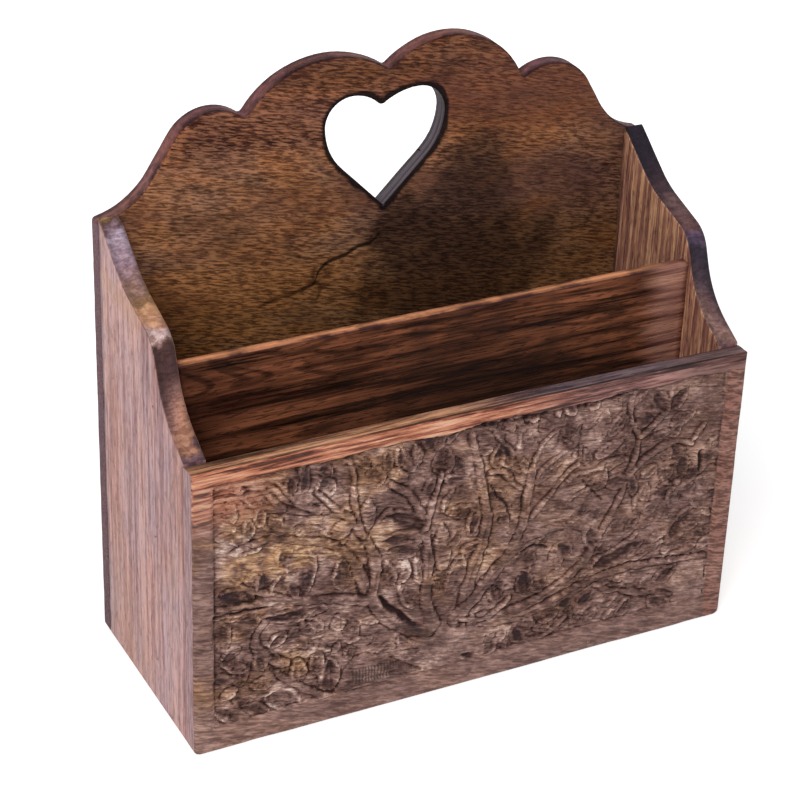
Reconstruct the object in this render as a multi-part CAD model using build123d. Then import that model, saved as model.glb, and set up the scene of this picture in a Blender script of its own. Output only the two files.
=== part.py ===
"""Desk letter box: six hardwood boards, glued and pinned.

A tall back with a scalloped top and a heart cut-out, two sides whose top edge falls in an S to a low
carved front, one divider between them and a bottom let in between the four walls.

X runs across the front, Y from front to back and Z up. The origin is the centre of the footprint, on the
surface that the box stands on. All sizes are in millimetres.
"""

from build123d import *
from math import acos, asin, atan2, cos, degrees, hypot, radians, sin, sqrt, tan
import os

# Boards
WIDTH = 254.0  # over the two sides
DEPTH = 103.5  # over the front and the back
FRONT_THICKNESS = 8.5
BACK_THICKNESS = 8.5
SIDE_THICKNESS = 9.5
DIVIDER_THICKNESS = 6.0
BOTTOM_THICKNESS = 8.0
FRONT_SLOT = 28.0  # clear depth of the front letter slot; the rear slot has the rest
FRONT_HEIGHT = 133.0  # at the front's two ends
RIM_CROWN = 1.0  # rise of the front's top edge at mid-length
DIVIDER_HEIGHT = 160.5
SHOULDER_HEIGHT = 197.8  # the back's two outer corners
SIDE_REAR_HEIGHT = 200.5  # the sides' tops where they meet the back
SIDE_PROUD = 1.8  # how far the sides' tops stand over the front where they meet it

# Scalloped top of the back. It is sawn by hand, so no two lobes match: each has its centre's distance
# from the middle of the box, its top's height and its radius
LEFT_SMALL_LOBE = (-77.0, 238.2, 20.2)
LEFT_BIG_LOBE = (-25.5, 253.3, 44.7)
RIGHT_BIG_LOBE = (28.7, 255.6, 38.8)
RIGHT_SMALL_LOBE = (78.5, 236.1, 22.1)
SCOOP_RADIUS = 40.0  # hollow between a small lobe and the shoulder
SCOOP_INSET = 15.9  # where the hollow's two slopes would meet, in from the box's side
SCOOP_RISE = 3.8  # the same point above the shoulder
NOTCH_RADIUS = 1.6  # bottom of the notches between lobes

# Heart cut-out
HEART_TIP_HEIGHT = 184.0
HEART_TIP_ANGLE = 90.0
HEART_HALF_WIDTH = 27.5
HEART_FLANK_RADIUS = 27.0  # from the straight flank up to the widest point
HEART_SHOULDER_RADIUS = 12.3  # from the widest point over to the lobe's top
HEART_CLEFT_DEPTH = 6.3  # below the lobes' tops
HEART_CLEFT_OFFSET = -2.2  # the cleft is sawn a little off the middle
HEART_CLEFT_RADIUS = 2.5

# Top edge of the sides, from the back to the front
STEP_RUN = 24.7  # foot of the first fall, in front of the back
STEP_DROP = 18.5  # and below the top
NOSE_RUN = 55.3  # corner of the nose, in front of the back
NOSE_DROP = 27.8  # and below the top
SWEEP_RUN = 21.2  # foot of the last fall, behind the front
SWEEP_RISE = 13.5  # and above the front
STEP_RADIUS = 42.0
NOSE_RADIUS = 14.6
SWEEP_RADIUS = 37.0

# Front
FRAME_SIDE = 8.0  # plain border outside the incised frame line, left and right
FRAME_BOTTOM = 11.0
RIM_BAND = 6.0  # plain band above the carved field
FRAME_LINE_WIDTH = 1.2
FRAME_LINE_DEPTH = 0.8

# The carved tree: stems and leaves left standing in a sunk ground. Their places are shares of the field,
# across from its middle to its right edge and up from its foot to its top
GROUND_DEPTH = 1.8
STEM_WIDTHS = (5.0, 2.2)  # at a stem's base and at its tip
BRANCH_WIDTHS = (3.4, 2.0)
STEMS = (
    ((-0.17, 0.17), (-0.32, 0.25), (-0.42, 0.42), (-0.50, 0.59), (-0.64, 0.68), (-0.86, 0.72)),
    ((-0.15, 0.19), (-0.19, 0.33), (-0.19, 0.50), (-0.23, 0.70), (-0.34, 0.83)),
    ((-0.03, 0.21), (0.00, 0.42), (0.04, 0.59), (0.01, 0.76), (-0.03, 0.95)),
    ((-0.07, 0.19), (0.10, 0.37), (0.20, 0.56), (0.21, 0.76)),
    ((0.00, 0.16), (0.34, 0.16), (0.59, 0.22), (0.85, 0.20), (0.99, 0.18)),
)
BRANCHES = (
    ((-0.41, 0.39), (-0.41, 0.57), (-0.51, 0.75), (-0.68, 0.81), (-0.84, 0.88), (-0.92, 0.95)),
    ((-0.42, 0.37), (-0.58, 0.42), (-0.75, 0.47), (-0.89, 0.56)),
    ((-0.56, 0.01), (-0.68, 0.08), (-0.79, 0.22), (-0.84, 0.35), (-0.81, 0.40)),
    ((0.03, 0.17), (0.20, 0.16), (0.37, 0.23), (0.48, 0.35), (0.42, 0.47), (0.23, 0.47), (0.08, 0.36)),
    ((0.49, 0.36), (0.57, 0.50), (0.64, 0.70), (0.65, 0.79), (0.76, 0.89)),
    ((0.62, 0.62), (0.75, 0.72), (0.88, 0.70)),
    ((0.51, 0.18), (0.70, 0.09), (0.85, 0.04)),
)
# Leaves: where one starts, the way it points in degrees, its length and its width
LEAVES = (
    ((-0.59, 0.68), 150, 16, 6.5),
    ((-0.65, 0.64), 268, 20, 8),
    ((-0.52, 0.45), 95, 15, 8),
    ((-0.85, 0.49), 155, 16, 9),
    ((-0.81, 0.33), 235, 16, 8),
    ((-0.46, 0.22), 120, 13, 6),
    ((-0.57, 0.20), 165, 20, 6),
    ((-0.68, 0.09), 92, 13, 7),
    ((-0.78, 0.12), 165, 16, 6),
    ((-0.34, 0.41), 98, 17, 9),
    ((-0.58, 0.85), 110, 12, 8),
    ((-0.40, 0.84), 100, 12, 9),
    ((-0.15, 0.83), 92, 13, 8),
    ((-0.10, 0.32), 70, 19, 7),
    ((0.20, 0.75), 100, 24, 8),
    ((0.22, 0.75), 55, 22, 7),
    ((0.36, 0.67), 10, 18, 5),
    ((0.36, 0.86), 90, 12, 7),
    ((0.28, 0.22), 110, 17, 8),
    ((0.10, 0.24), 110, 14, 6),
    ((0.51, 0.25), 12, 34, 7),
    ((0.67, 0.46), 75, 15, 7),
    ((0.50, 0.82), 75, 14, 8),
    ((0.48, 0.72), 15, 16, 6),
    ((0.83, 0.55), 20, 12, 8),
    ((0.83, 0.55), 140, 12, 8),
    ((0.83, 0.55), 260, 12, 8),
    ((0.40, 0.02), 72, 14, 8),
)
MOUND = ((-0.54, 0.0), (-0.46, 0.14), (-0.20, 0.0))  # hill left of the root: its two feet and its top
ROOT = ((-0.20, 0.0), (-0.05, 0.17), (0.07, 0.0))
BLOCK = ((0.87, 0.0), (1.0, 0.14))  # plain block in the field's right bottom corner

# Softened edges
ARRIS = 1.2
HEART_ARRIS = 0.8
CORNER_ROUND = 2.0  # the back's two shoulders, seen from the front
FOOT_ROUND = 3.0  # the box's two lower edges, rounded through front, side and back once it is together

# The most of the shorter run beside it that an outline's rounding takes up. Two roundings that share a
# run take less than the whole of it between them
SCOOP_SHARE = 0.9
CORNER_SHARE = 0.09
STEP_SHARE = 0.45
NOSE_SHARE = 0.28
SWEEP_SHARE = 0.7

# Headless pins of flat wire, shot in below the surface, each under a plug of filler
PIN_LENGTH = 20.0
PIN_WIDTH = 1.3
PIN_THICKNESS = 1.1
PIN_POINT = 2.0  # length of the chisel point
PIN_SUNK = 1.5  # depth of the plug over the pin
PIN_END_INSET = 16.0  # first and last pin of a row, in from the ends of its joint
FRONT_END_PIN_COUNT = 3
BACK_END_PIN_COUNT = 4
LONG_JOINT_PIN_COUNT = 3  # along the bottom's front and back edges and the divider's foot
DIVIDER_END_PIN_COUNT = 3
BOTTOM_END_PIN_COUNT = 2

# Planes that the boards share
FRONT_FACE = -DEPTH / 2
FRONT_INNER = FRONT_FACE + FRONT_THICKNESS
DIVIDER_FACE = FRONT_INNER + FRONT_SLOT
BACK_FACE = DEPTH / 2
BACK_INNER = BACK_FACE - BACK_THICKNESS
SIDE_FACE = WIDTH / 2
SIDE_INNER = SIDE_FACE - SIDE_THICKNESS
INNER_WIDTH = 2 * SIDE_INNER
INNER_DEPTH = BACK_INNER - FRONT_INNER
SIDE_MIDDLE = SIDE_FACE - SIDE_THICKNESS / 2
BOTTOM_MIDDLE = BOTTOM_THICKNESS / 2
DIVIDER_MIDDLE = DIVIDER_FACE + DIVIDER_THICKNESS / 2

# The carved field, inside the frame line
FIELD_SIDE = SIDE_FACE - FRAME_SIDE - FRAME_LINE_WIDTH
FIELD_FOOT = FRAME_BOTTOM + FRAME_LINE_WIDTH
FIELD_TOP = FRONT_HEIGHT - RIM_BAND

ON_BASE = (Align.CENTER, Align.CENTER, Align.MIN)
TOUCHING = 0.01  # nearer than this, an edge lies on a shape


def across(outline, front, thickness):
    """A board standing across the box, its outline drawn in X and Z, from y = front backwards."""
    return extrude(Plane.XZ.offset(-front - thickness) * outline, thickness)


def limited_radius(before, corner, after, wanted, share):
    """The wanted radius, or less where it would use more than a share of the shorter run beside it."""
    run_in = Vector(*corner) - Vector(*before)
    run_out = Vector(*after) - Vector(*corner)
    half_turn = radians(run_in.get_angle(run_out)) / 2
    return min(wanted, share * min(run_in.length, run_out.length) / tan(half_turn))


def tangent_point(point, centre, radius, side):
    """Where the line up from an outer point touches a circle, on its left (-1) or right (1) flank."""
    dx = side * (point[0] - centre[0])
    dz = point[1] - centre[1]
    angle = atan2(dz, dx) + acos(radius / hypot(dx, dz))
    return centre[0] + side * radius * cos(angle), centre[1] + radius * sin(angle)


def upper_crossing(left, left_radius, right, right_radius):
    """The upper of the two points where two circles cross."""
    dx = right[0] - left[0]
    dz = right[1] - left[1]
    gap = hypot(dx, dz)
    along = (gap**2 + left_radius**2 - right_radius**2) / (2 * gap)
    aside = sqrt(left_radius**2 - along**2)
    return (
        left[0] + (along * dx - aside * dz) / gap,
        left[1] + (along * dz + aside * dx) / gap,
    )


def shoulder(centre, radius, side):
    """One shoulder of the back (-1 left, 1 right), from its small lobe down to the box's foot."""
    scoop = (side * (SIDE_FACE - SCOOP_INSET), SHOULDER_HEIGHT + SCOOP_RISE)
    corner = (side * SIDE_FACE, SHOULDER_HEIGHT)
    foot = (side * SIDE_FACE, 0)
    start = tangent_point(scoop, centre, radius, side)
    scoop_radius = limited_radius(start, scoop, corner, SCOOP_RADIUS, SCOOP_SHARE)
    corner_radius = limited_radius(scoop, corner, foot, CORNER_ROUND, CORNER_SHARE)
    return FilletPolyline(start, scoop, corner, foot, (0, 0), radius=(scoop_radius, corner_radius, FOOT_ROUND))


def back_outline():
    """The back: straight sides, sloping shoulders, and four lobes with a notch between each two."""
    xs, tops, radii = zip(LEFT_SMALL_LOBE, LEFT_BIG_LOBE, RIGHT_BIG_LOBE, RIGHT_SMALL_LOBE)
    centres = [(x, top - radius) for x, top, radius in zip(xs, tops, radii)]
    notches = [
        upper_crossing(centres[i], radii[i], centres[i + 1], radii[i + 1]) for i in range(len(radii) - 1)
    ]
    left = shoulder(centres[0], radii[0], -1)
    right = shoulder(centres[-1], radii[-1], 1)
    ends = [left @ 0] + notches + [right @ 0]
    scallops = [ThreePointArc(ends[i], (xs[i], tops[i]), ends[i + 1]) for i in range(len(radii))]
    face = make_face(scallops + left.edges() + right.edges())
    for notch in notches:
        face = fillet(face.vertices().sort_by_distance((*notch, 0))[0], NOTCH_RADIUS)
    return face


def heart_half(cleft_run):
    """The heart's right half: a straight flank, two arcs to the lobe's top and one down to the cleft."""
    half_angle = radians(HEART_TIP_ANGLE / 2)
    flank_x = HEART_HALF_WIDTH - HEART_FLANK_RADIUS * (1 - cos(half_angle))
    flank = Line((0, HEART_TIP_HEIGHT), (flank_x, HEART_TIP_HEIGHT + flank_x / tan(half_angle)))
    side = JernArc(flank @ 1, flank % 1, HEART_FLANK_RADIUS, HEART_TIP_ANGLE / 2)
    lobe = JernArc(side @ 1, side % 1, HEART_SHOULDER_RADIUS, 90)
    crown_radius = (cleft_run**2 + HEART_CLEFT_DEPTH**2) / (2 * HEART_CLEFT_DEPTH)
    crown = JernArc(lobe @ 1, lobe % 1, crown_radius, degrees(asin(cleft_run / crown_radius)))
    return Curve() + [flank, side, lobe, crown]


def heart_outline():
    """The heart: its two halves meet at the tip and at the cleft."""
    lobe_run = HEART_HALF_WIDTH - HEART_SHOULDER_RADIUS
    right = heart_half(lobe_run - HEART_CLEFT_OFFSET)
    left = mirror(heart_half(lobe_run + HEART_CLEFT_OFFSET), Plane.YZ)
    face = make_face(right.edges() + left.edges())
    cleft = face.vertices().sort_by_distance(right.edges()[-1] @ 1)[0]
    return fillet(cleft, HEART_CLEFT_RADIUS)


def side_outline():
    """A side, drawn in Y and Z: level foot, then the S-shaped top edge."""
    rear = (BACK_INNER, SIDE_REAR_HEIGHT)
    step = (BACK_INNER - STEP_RUN, SIDE_REAR_HEIGHT - STEP_DROP)
    nose = (BACK_INNER - NOSE_RUN, SIDE_REAR_HEIGHT - NOSE_DROP)
    sweep = (FRONT_INNER + SWEEP_RUN, FRONT_HEIGHT + SWEEP_RISE)
    front = (FRONT_INNER, FRONT_HEIGHT + SIDE_PROUD)
    return make_face(
        FilletPolyline(
            (BACK_INNER, 0),
            rear,
            step,
            nose,
            sweep,
            front,
            (FRONT_INNER, 0),
            radius=(
                0,
                0,
                limited_radius(rear, step, nose, STEP_RADIUS, STEP_SHARE),
                limited_radius(step, nose, sweep, NOSE_RADIUS, NOSE_SHARE),
                limited_radius(nose, sweep, front, SWEEP_RADIUS, SWEEP_SHARE),
                0,
                0,
            ),
            close=True,
        )
    )


def front_outline():
    """The front: rounded bottom corners and a top edge that rises a little to the middle."""
    right_end = (SIDE_FACE, FRONT_HEIGHT)
    left_end = (-SIDE_FACE, FRONT_HEIGHT)
    half = FilletPolyline((0, 0), (SIDE_FACE, 0), right_end, radius=FOOT_ROUND)
    rim = ThreePointArc(right_end, (0, FRONT_HEIGHT + RIM_CROWN), left_end)
    return make_face(half.edges() + mirror(half, Plane.YZ).edges() + [rim])


def frame_line():
    """The incised line round the carved field: down both ends and along the bottom."""
    outer_x = SIDE_FACE - FRAME_SIDE
    path = [
        (-outer_x, FIELD_TOP),
        (-outer_x, FRAME_BOTTOM),
        (outer_x, FRAME_BOTTOM),
        (outer_x, FIELD_TOP),
        (FIELD_SIDE, FIELD_TOP),
        (FIELD_SIDE, FIELD_FOOT),
        (-FIELD_SIDE, FIELD_FOOT),
        (-FIELD_SIDE, FIELD_TOP),
    ]
    line = make_face(Polyline(*path, close=True))
    return across(line, FRONT_FACE, FRAME_LINE_DEPTH)


def in_field(share):
    """A place in the carved field from its shares across and up."""
    return share[0] * FIELD_SIDE, FIELD_FOOT + share[1] * (FIELD_TOP - FIELD_FOOT)


def stem(shares, widths):
    """A stem that runs through a few places and tapers evenly from its base to its tip."""
    line = Spline(*[in_field(share) for share in shares])
    left, right = [], []
    for part in spread(0, 1, 2 * len(shares) - 1):
        way = line % part
        aside = Vector(-way.Y, way.X) * (widths[0] + (widths[1] - widths[0]) * part) / 2
        left.append(line @ part + aside)
        right.append(line @ part - aside)
    right.reverse()
    return make_face([Spline(*left), Line(left[-1], right[0]), Spline(*right), Line(right[-1], left[0])])


def leaf(share, angle, length, width):
    """A pointed leaf of two equal arcs."""
    base = Vector(*in_field(share))
    way = Vector(cos(radians(angle)), sin(radians(angle)))
    tip, middle = base + way * length, base + way * length / 2
    aside = Vector(-way.Y, way.X) * width / 2
    return make_face([ThreePointArc(base, middle + aside, tip), ThreePointArc(tip, middle - aside, base)])


def hill(shares):
    """A hill on the field's foot: two feet joined by an arc over its top."""
    first, top, last = (in_field(share) for share in shares)
    return make_face([ThreePointArc(first, top, last), Line(last, first)])


def carved_ground():
    """What the carver sinks: the field without the tree, its root, the mound and the plain block."""
    field = make_face(Polyline(*[in_field(s) for s in ((-1, 0), (1, 0), (1, 1), (-1, 1))], close=True))
    (low_x, low_z), (high_x, high_z) = (in_field(share) for share in BLOCK)
    block = make_face(
        Polyline((low_x, low_z), (high_x, low_z), (high_x, high_z), (low_x, high_z), close=True)
    )
    standing = [stem(shares, STEM_WIDTHS) for shares in STEMS]
    standing += [stem(shares, BRANCH_WIDTHS) for shares in BRANCHES]
    standing += [leaf(*values) for values in LEAVES]
    standing += [hill(MOUND), hill(ROOT), block]
    for shape in standing:
        field -= shape
    return across(field, FRONT_FACE, GROUND_DEPTH)


def pin(place):
    """A pin at a place on a board's face, driven along the place's z with its chisel point first."""
    half = PIN_WIDTH / 2
    shoulder_z = PIN_LENGTH - PIN_POINT
    corners = [(-half, 0), (half, 0), (half, shoulder_z), (0, PIN_LENGTH), (-half, shoulder_z)]
    outline = Plane.XZ * make_face(Polyline(*corners, close=True))
    blank = extrude(outline, PIN_THICKNESS / 2, both=True)
    return place * Pos(Z=PIN_SUNK) * blank


def filler(place):
    """The plug over a pin, flush with the board's face."""
    return place * Box(PIN_WIDTH, PIN_THICKNESS, PIN_SUNK, align=ON_BASE)


def spread(first, last, count):
    """Evenly spaced positions from first to last."""
    return [first + (last - first) * i / (count - 1) for i in range(count)]


def across_places(face, direction, joint_top, count):
    """Pins through the front or the back: into both sides, and into the bottom's edge."""
    heights = spread(PIN_END_INSET, joint_top - PIN_END_INSET, count)
    along = spread(-SIDE_INNER / 2, SIDE_INNER / 2, LONG_JOINT_PIN_COUNT)
    points = [(x, z) for x in (-SIDE_MIDDLE, SIDE_MIDDLE) for z in heights]
    points += [(x, BOTTOM_MIDDLE) for x in along]
    return [Plane((x, face, z), x_dir=(1, 0, 0), z_dir=(0, direction, 0)) for x, z in points]


def side_places(side):
    """Pins through one side (-1 left, 1 right): into the divider's end and the bottom's end."""
    low = BOTTOM_THICKNESS + PIN_END_INSET
    high = DIVIDER_HEIGHT - PIN_END_INSET
    points = [(DIVIDER_MIDDLE, z) for z in spread(low, high, DIVIDER_END_PIN_COUNT)]
    near, far = FRONT_INNER + PIN_END_INSET, BACK_INNER - PIN_END_INSET
    points += [(y, BOTTOM_MIDDLE) for y in spread(near, far, BOTTOM_END_PIN_COUNT)]
    return [Plane((side * SIDE_FACE, y, z), x_dir=(0, 1, 0), z_dir=(-side, 0, 0)) for y, z in points]


def foot_places():
    """Pins up through the bottom into the divider's foot."""
    along = spread(-SIDE_INNER + PIN_END_INSET, SIDE_INNER - PIN_END_INSET, LONG_JOINT_PIN_COUNT)
    return [Plane((x, DIVIDER_MIDDLE, 0), x_dir=(1, 0, 0), z_dir=(0, 0, 1)) for x in along]


def edges_in_face(board, axis, position, low=-1.0):
    """A board's edges that lie in the plane at a position on an axis, with their middles above a height."""
    edges = board.edges().filter_by_position(axis, position, position)
    return edges.filter_by(lambda edge: edge.center().Z > low)


def back_panel(pins):
    """The tall back: arrises softened all round, apart from where the sides meet it."""
    board = across(back_outline(), BACK_INNER, BACK_THICKNESS)
    crown = edges_in_face(board, Axis.Y, BACK_INNER, SHOULDER_HEIGHT - CORNER_ROUND / 2)
    board = fillet(edges_in_face(board, Axis.Y, BACK_FACE) + crown, ARRIS)
    heart = across(heart_outline(), BACK_INNER, BACK_THICKNESS)
    board -= heart
    rims = edges_in_face(board, Axis.Y, BACK_INNER) + edges_in_face(board, Axis.Y, BACK_FACE)
    return fillet(rims.filter_by(lambda edge: edge.distance_to(heart) < TOUCHING), HEART_ARRIS) - pins


def front_panel(pins):
    """The low front: softened arrises, apart from where the sides meet it, and the carving in its face."""
    board = across(front_outline(), FRONT_FACE, FRONT_THICKNESS)
    rim = edges_in_face(board, Axis.Y, FRONT_INNER, FRONT_HEIGHT - ARRIS)
    board = fillet(edges_in_face(board, Axis.Y, FRONT_FACE) + rim, ARRIS)
    return board - frame_line() - carved_ground() - pins


def side_panel(side, pins):
    """One side (-1 left, 1 right): its S-shaped top edge is softened along both faces, its foot outside."""
    board = extrude(Plane.YZ.offset(SIDE_INNER) * side_outline(), SIDE_THICKNESS)
    top = FRONT_HEIGHT - ARRIS
    arrises = edges_in_face(board, Axis.X, SIDE_INNER, top) + edges_in_face(board, Axis.X, SIDE_FACE, top)
    upright = arrises.filter_by(Axis.Z)
    board = fillet(arrises - upright, ARRIS)
    board = fillet(edges_in_face(board, Axis.X, SIDE_FACE).sort_by(Axis.Z)[0], FOOT_ROUND)
    if side < 0:
        board = mirror(board, Plane.YZ)
    return board - pins


def divider_panel(pins):
    """The thin board between the two letter slots, standing on the bottom."""
    height = DIVIDER_HEIGHT - BOTTOM_THICKNESS
    board = Pos(0, DIVIDER_MIDDLE, BOTTOM_THICKNESS) * Box(
        INNER_WIDTH, DIVIDER_THICKNESS, height, align=ON_BASE
    )
    top = edges_in_face(board, Axis.Z, DIVIDER_HEIGHT).filter_by(Axis.X)
    return fillet(top, ARRIS) - pins


def bottom_panel(pins):
    """The bottom, let in between the four walls."""
    board = Box(INNER_WIDTH, INNER_DEPTH, BOTTOM_THICKNESS, align=ON_BASE)
    return Pos(0, (FRONT_INNER + BACK_INNER) / 2, 0) * board - pins


def main():
    places = {
        "front_panel_pins": across_places(FRONT_FACE, 1, FRONT_HEIGHT, FRONT_END_PIN_COUNT),
        "back_panel_pins": across_places(BACK_FACE, -1, SHOULDER_HEIGHT, BACK_END_PIN_COUNT),
        "left_side_pins": side_places(-1),
        "right_side_pins": side_places(1),
        "divider_foot_pins": foot_places(),
    }
    pins = {name: [pin(place) for place in group] for name, group in places.items()}
    fillers = [filler(place) for group in places.values() for place in group]
    driven = [each for group in pins.values() for each in group] + fillers

    nodes = {
        "back_panel": back_panel(driven),
        "front_panel": front_panel(driven),
        "left_side_panel": side_panel(-1, driven),
        "right_side_panel": side_panel(1, driven),
        "divider_panel": divider_panel(driven),
        "bottom_panel": bottom_panel(driven),
        "pin_hole_fillers": Compound(children=fillers),
    }
    for name, group in pins.items():
        nodes[name] = Compound(children=group)

    os.makedirs("parts", exist_ok=True)
    for name, shape in nodes.items():
        export_step(shape, f"parts/{name}.step")


main()
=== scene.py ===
from functools import cached_property
from math import cos, pi, radians, sin
from types import SimpleNamespace

import bmesh
import bpy
import numpy as np
from bpy.props import FloatProperty, FloatVectorProperty, PointerProperty
from mathutils import Matrix, Vector
from mathutils.kdtree import KDTree


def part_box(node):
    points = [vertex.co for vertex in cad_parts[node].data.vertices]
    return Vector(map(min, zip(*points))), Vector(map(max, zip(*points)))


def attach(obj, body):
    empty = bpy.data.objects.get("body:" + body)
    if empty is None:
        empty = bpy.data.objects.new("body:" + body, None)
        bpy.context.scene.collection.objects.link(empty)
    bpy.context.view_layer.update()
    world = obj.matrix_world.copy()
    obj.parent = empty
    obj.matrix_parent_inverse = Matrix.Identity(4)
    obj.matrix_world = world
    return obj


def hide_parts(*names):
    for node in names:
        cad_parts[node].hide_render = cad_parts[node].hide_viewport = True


bl_info = {
    "name": "Desk letter box",
    "version": (1, 0, 0),
    "blender": (4, 5, 0),
    "location": "View3D > Sidebar > Letter box",
    "description": "Carved and plain hardwood boards of a desk letter box, and the stage it is shown on",
    "category": "Object",
}

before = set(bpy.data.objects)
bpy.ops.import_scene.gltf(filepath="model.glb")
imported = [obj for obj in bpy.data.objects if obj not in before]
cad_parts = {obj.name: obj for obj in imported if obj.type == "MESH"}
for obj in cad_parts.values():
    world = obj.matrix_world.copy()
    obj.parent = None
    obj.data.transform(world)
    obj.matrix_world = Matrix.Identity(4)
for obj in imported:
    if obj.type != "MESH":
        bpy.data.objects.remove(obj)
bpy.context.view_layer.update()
MM = 0.001
BOARD_CELL = 3 * MM  # spacing of the mesh in the plain boards
LINE_SPACING = 0.9  # between the places along a drawn line of the carving, in millimetres
SHARP = radians(50)  # edges that turn more than this stay crisp
WELD = 1e-6  # corners closer than this, in metres, are one
ON_PLANE = 1e-7  # how near a cut a corner has to lie to count as on it
WHITE = (1.0, 1.0, 1.0, 1.0)

FRONT_LOW, FRONT_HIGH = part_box("front_panel")


# ---- Sizes and colours that a user would change ----

def length(name, description, default):
    """A length property in metres, from a default in millimetres."""
    words = {"name": name, "description": description}
    return FloatProperty(default=default * MM, min=0.0, unit="LENGTH", precision=5, **words)


def colour(name, description, default):
    """A colour property, in linear light."""
    words = {"name": name, "description": description}
    return FloatVectorProperty(default=default, size=3, min=0.0, max=1.0, subtype="COLOR", **words)


class LetterBoxSizes(bpy.types.PropertyGroup):
    """Sizes of the carving and of the softened edges."""

    ground_depth: length("Ground depth", "How far the ground of the carving lies below the face", 1.6)
    carving_step: length("Carving step", "Spacing of the mesh in the carved field", 0.62)
    border_step: length("Border step", "Spacing of the mesh in the plain border", 1.3)
    arris: length("Arris", "Radius of the softened edges", 1.2)
    corner_radius: length("Corner radius", "Radius of the front's two bottom corners", 3.0)
    rim_crown: length("Rim crown", "Rise of the front's top edge at mid-length", 1.0)


class LetterBoxColours(bpy.types.PropertyGroup):
    """Colours of the wood and of the stage."""

    carved_dusky: colour("Carved wood, dusky", "The carved front's wood in mid light", (0.205, 0.113, 0.094))
    carved_warm: colour("Carved wood, warm", "The same where hands have rubbed it", (0.24, 0.118, 0.064))
    rim_red: colour("Rim, red", "The front's rim at the left and in the middle", (0.48, 0.166, 0.092))
    back_light: colour("Back, light", "Light streaks of the back", (0.51, 0.250, 0.132))
    back_dark: colour("Back, dark", "Dark streaks of the back", (0.058, 0.017, 0.012))
    side_light: colour("Side, light", "Light streaks of the sides", (0.685, 0.40, 0.375))
    side_dark: colour("Side, dark", "Dark streaks of the sides", (0.29, 0.138, 0.147))
    divider_light: colour("Divider, light", "Light streaks of the divider", (0.34, 0.116, 0.056))
    divider_dark: colour("Divider, dark", "Dark streaks of the divider", (0.002, 0.0003, 0.0002))
    rim_wood: colour("Rim wood", "Worn, orange top edges", (0.67, 0.285, 0.14))
    dusk: colour("Dusky edge", "Mauve, oiled edges", (0.27, 0.130, 0.128))
    floor: colour("Floor", "The pale floor", (0.9, 0.9, 0.9))


def sizes():
    return bpy.context.scene.letter_box_sizes


def colours():
    return bpy.context.scene.letter_box_colours


# ---- Shader building ----
# Finishes read places in metres, in the box's own frame: x.between(-0.08, -0.11) is a step that runs from
# 80 to 110 mm left of the middle. Noise is read between two levels, near its middle of 0.5, to spread it.

class Value:
    """A number or a colour that a material works out at each place. Arithmetic on it adds nodes."""

    def __init__(self, finish, socket):
        self.finish, self.socket = finish, socket

    def __add__(self, other):
        return self.finish.math("ADD", self, other)

    def __sub__(self, other):
        return self.finish.math("SUBTRACT", self, other)

    def __mul__(self, other):
        return self.finish.math("MULTIPLY", self, other)

    def __abs__(self):
        return self.finish.math("ABSOLUTE", self)

    def between(self, low, high, start=0, end=1, kind="SMOOTHSTEP"):
        """A step from start to end while the value goes from low to high: smooth, or LINEAR."""
        inputs = {"Value": self, "From Min": low, "From Max": high, "To Min": start, "To Max": end}
        return self.finish.value("Result", "ShaderNodeMapRange", inputs, interpolation_type=kind)

    def curve(self, points):
        """The value read off a smooth curve; the points run from 0 to 1 both ways."""
        new = self.finish.node("ShaderNodeFloatCurve", {"Value": self})
        line = new.mapping.curves[0].points
        line[0].location, line[1].location = points[0], points[-1]
        for point in points[1:-1]:
            line.new(*point)
        new.mapping.update()
        return Value(self.finish, new.outputs["Value"])

    def ramp(self, *stops):
        """The value read off a band of colours; each stop is a place from 0 to 1 and its colour."""
        new = self.finish.node("ShaderNodeValToRGB", {"Fac": self})
        band = new.color_ramp.elements
        band[0].position, band[1].position = stops[0][0], stops[-1][0]
        for place, _ in stops[1:-1]:
            band.new(place)
        for element, (_, tint) in zip(band, stops):
            element.color = (*tint, 1.0)
        return Value(self.finish, new.outputs["Color"])

    def mixed(self, share, other):
        """This colour with a share of another."""
        return self.finish.mix(share, self, other)

    def tinted(self, other):
        """This colour times another."""
        return self.finish.mix(1.0, self, other, "MULTIPLY")

    def darker(self, share, amount):
        """This colour, darkened where the share is 1 to one minus the amount."""
        return self.mixed(share * amount, (0.0, 0.0, 0.0))


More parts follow.
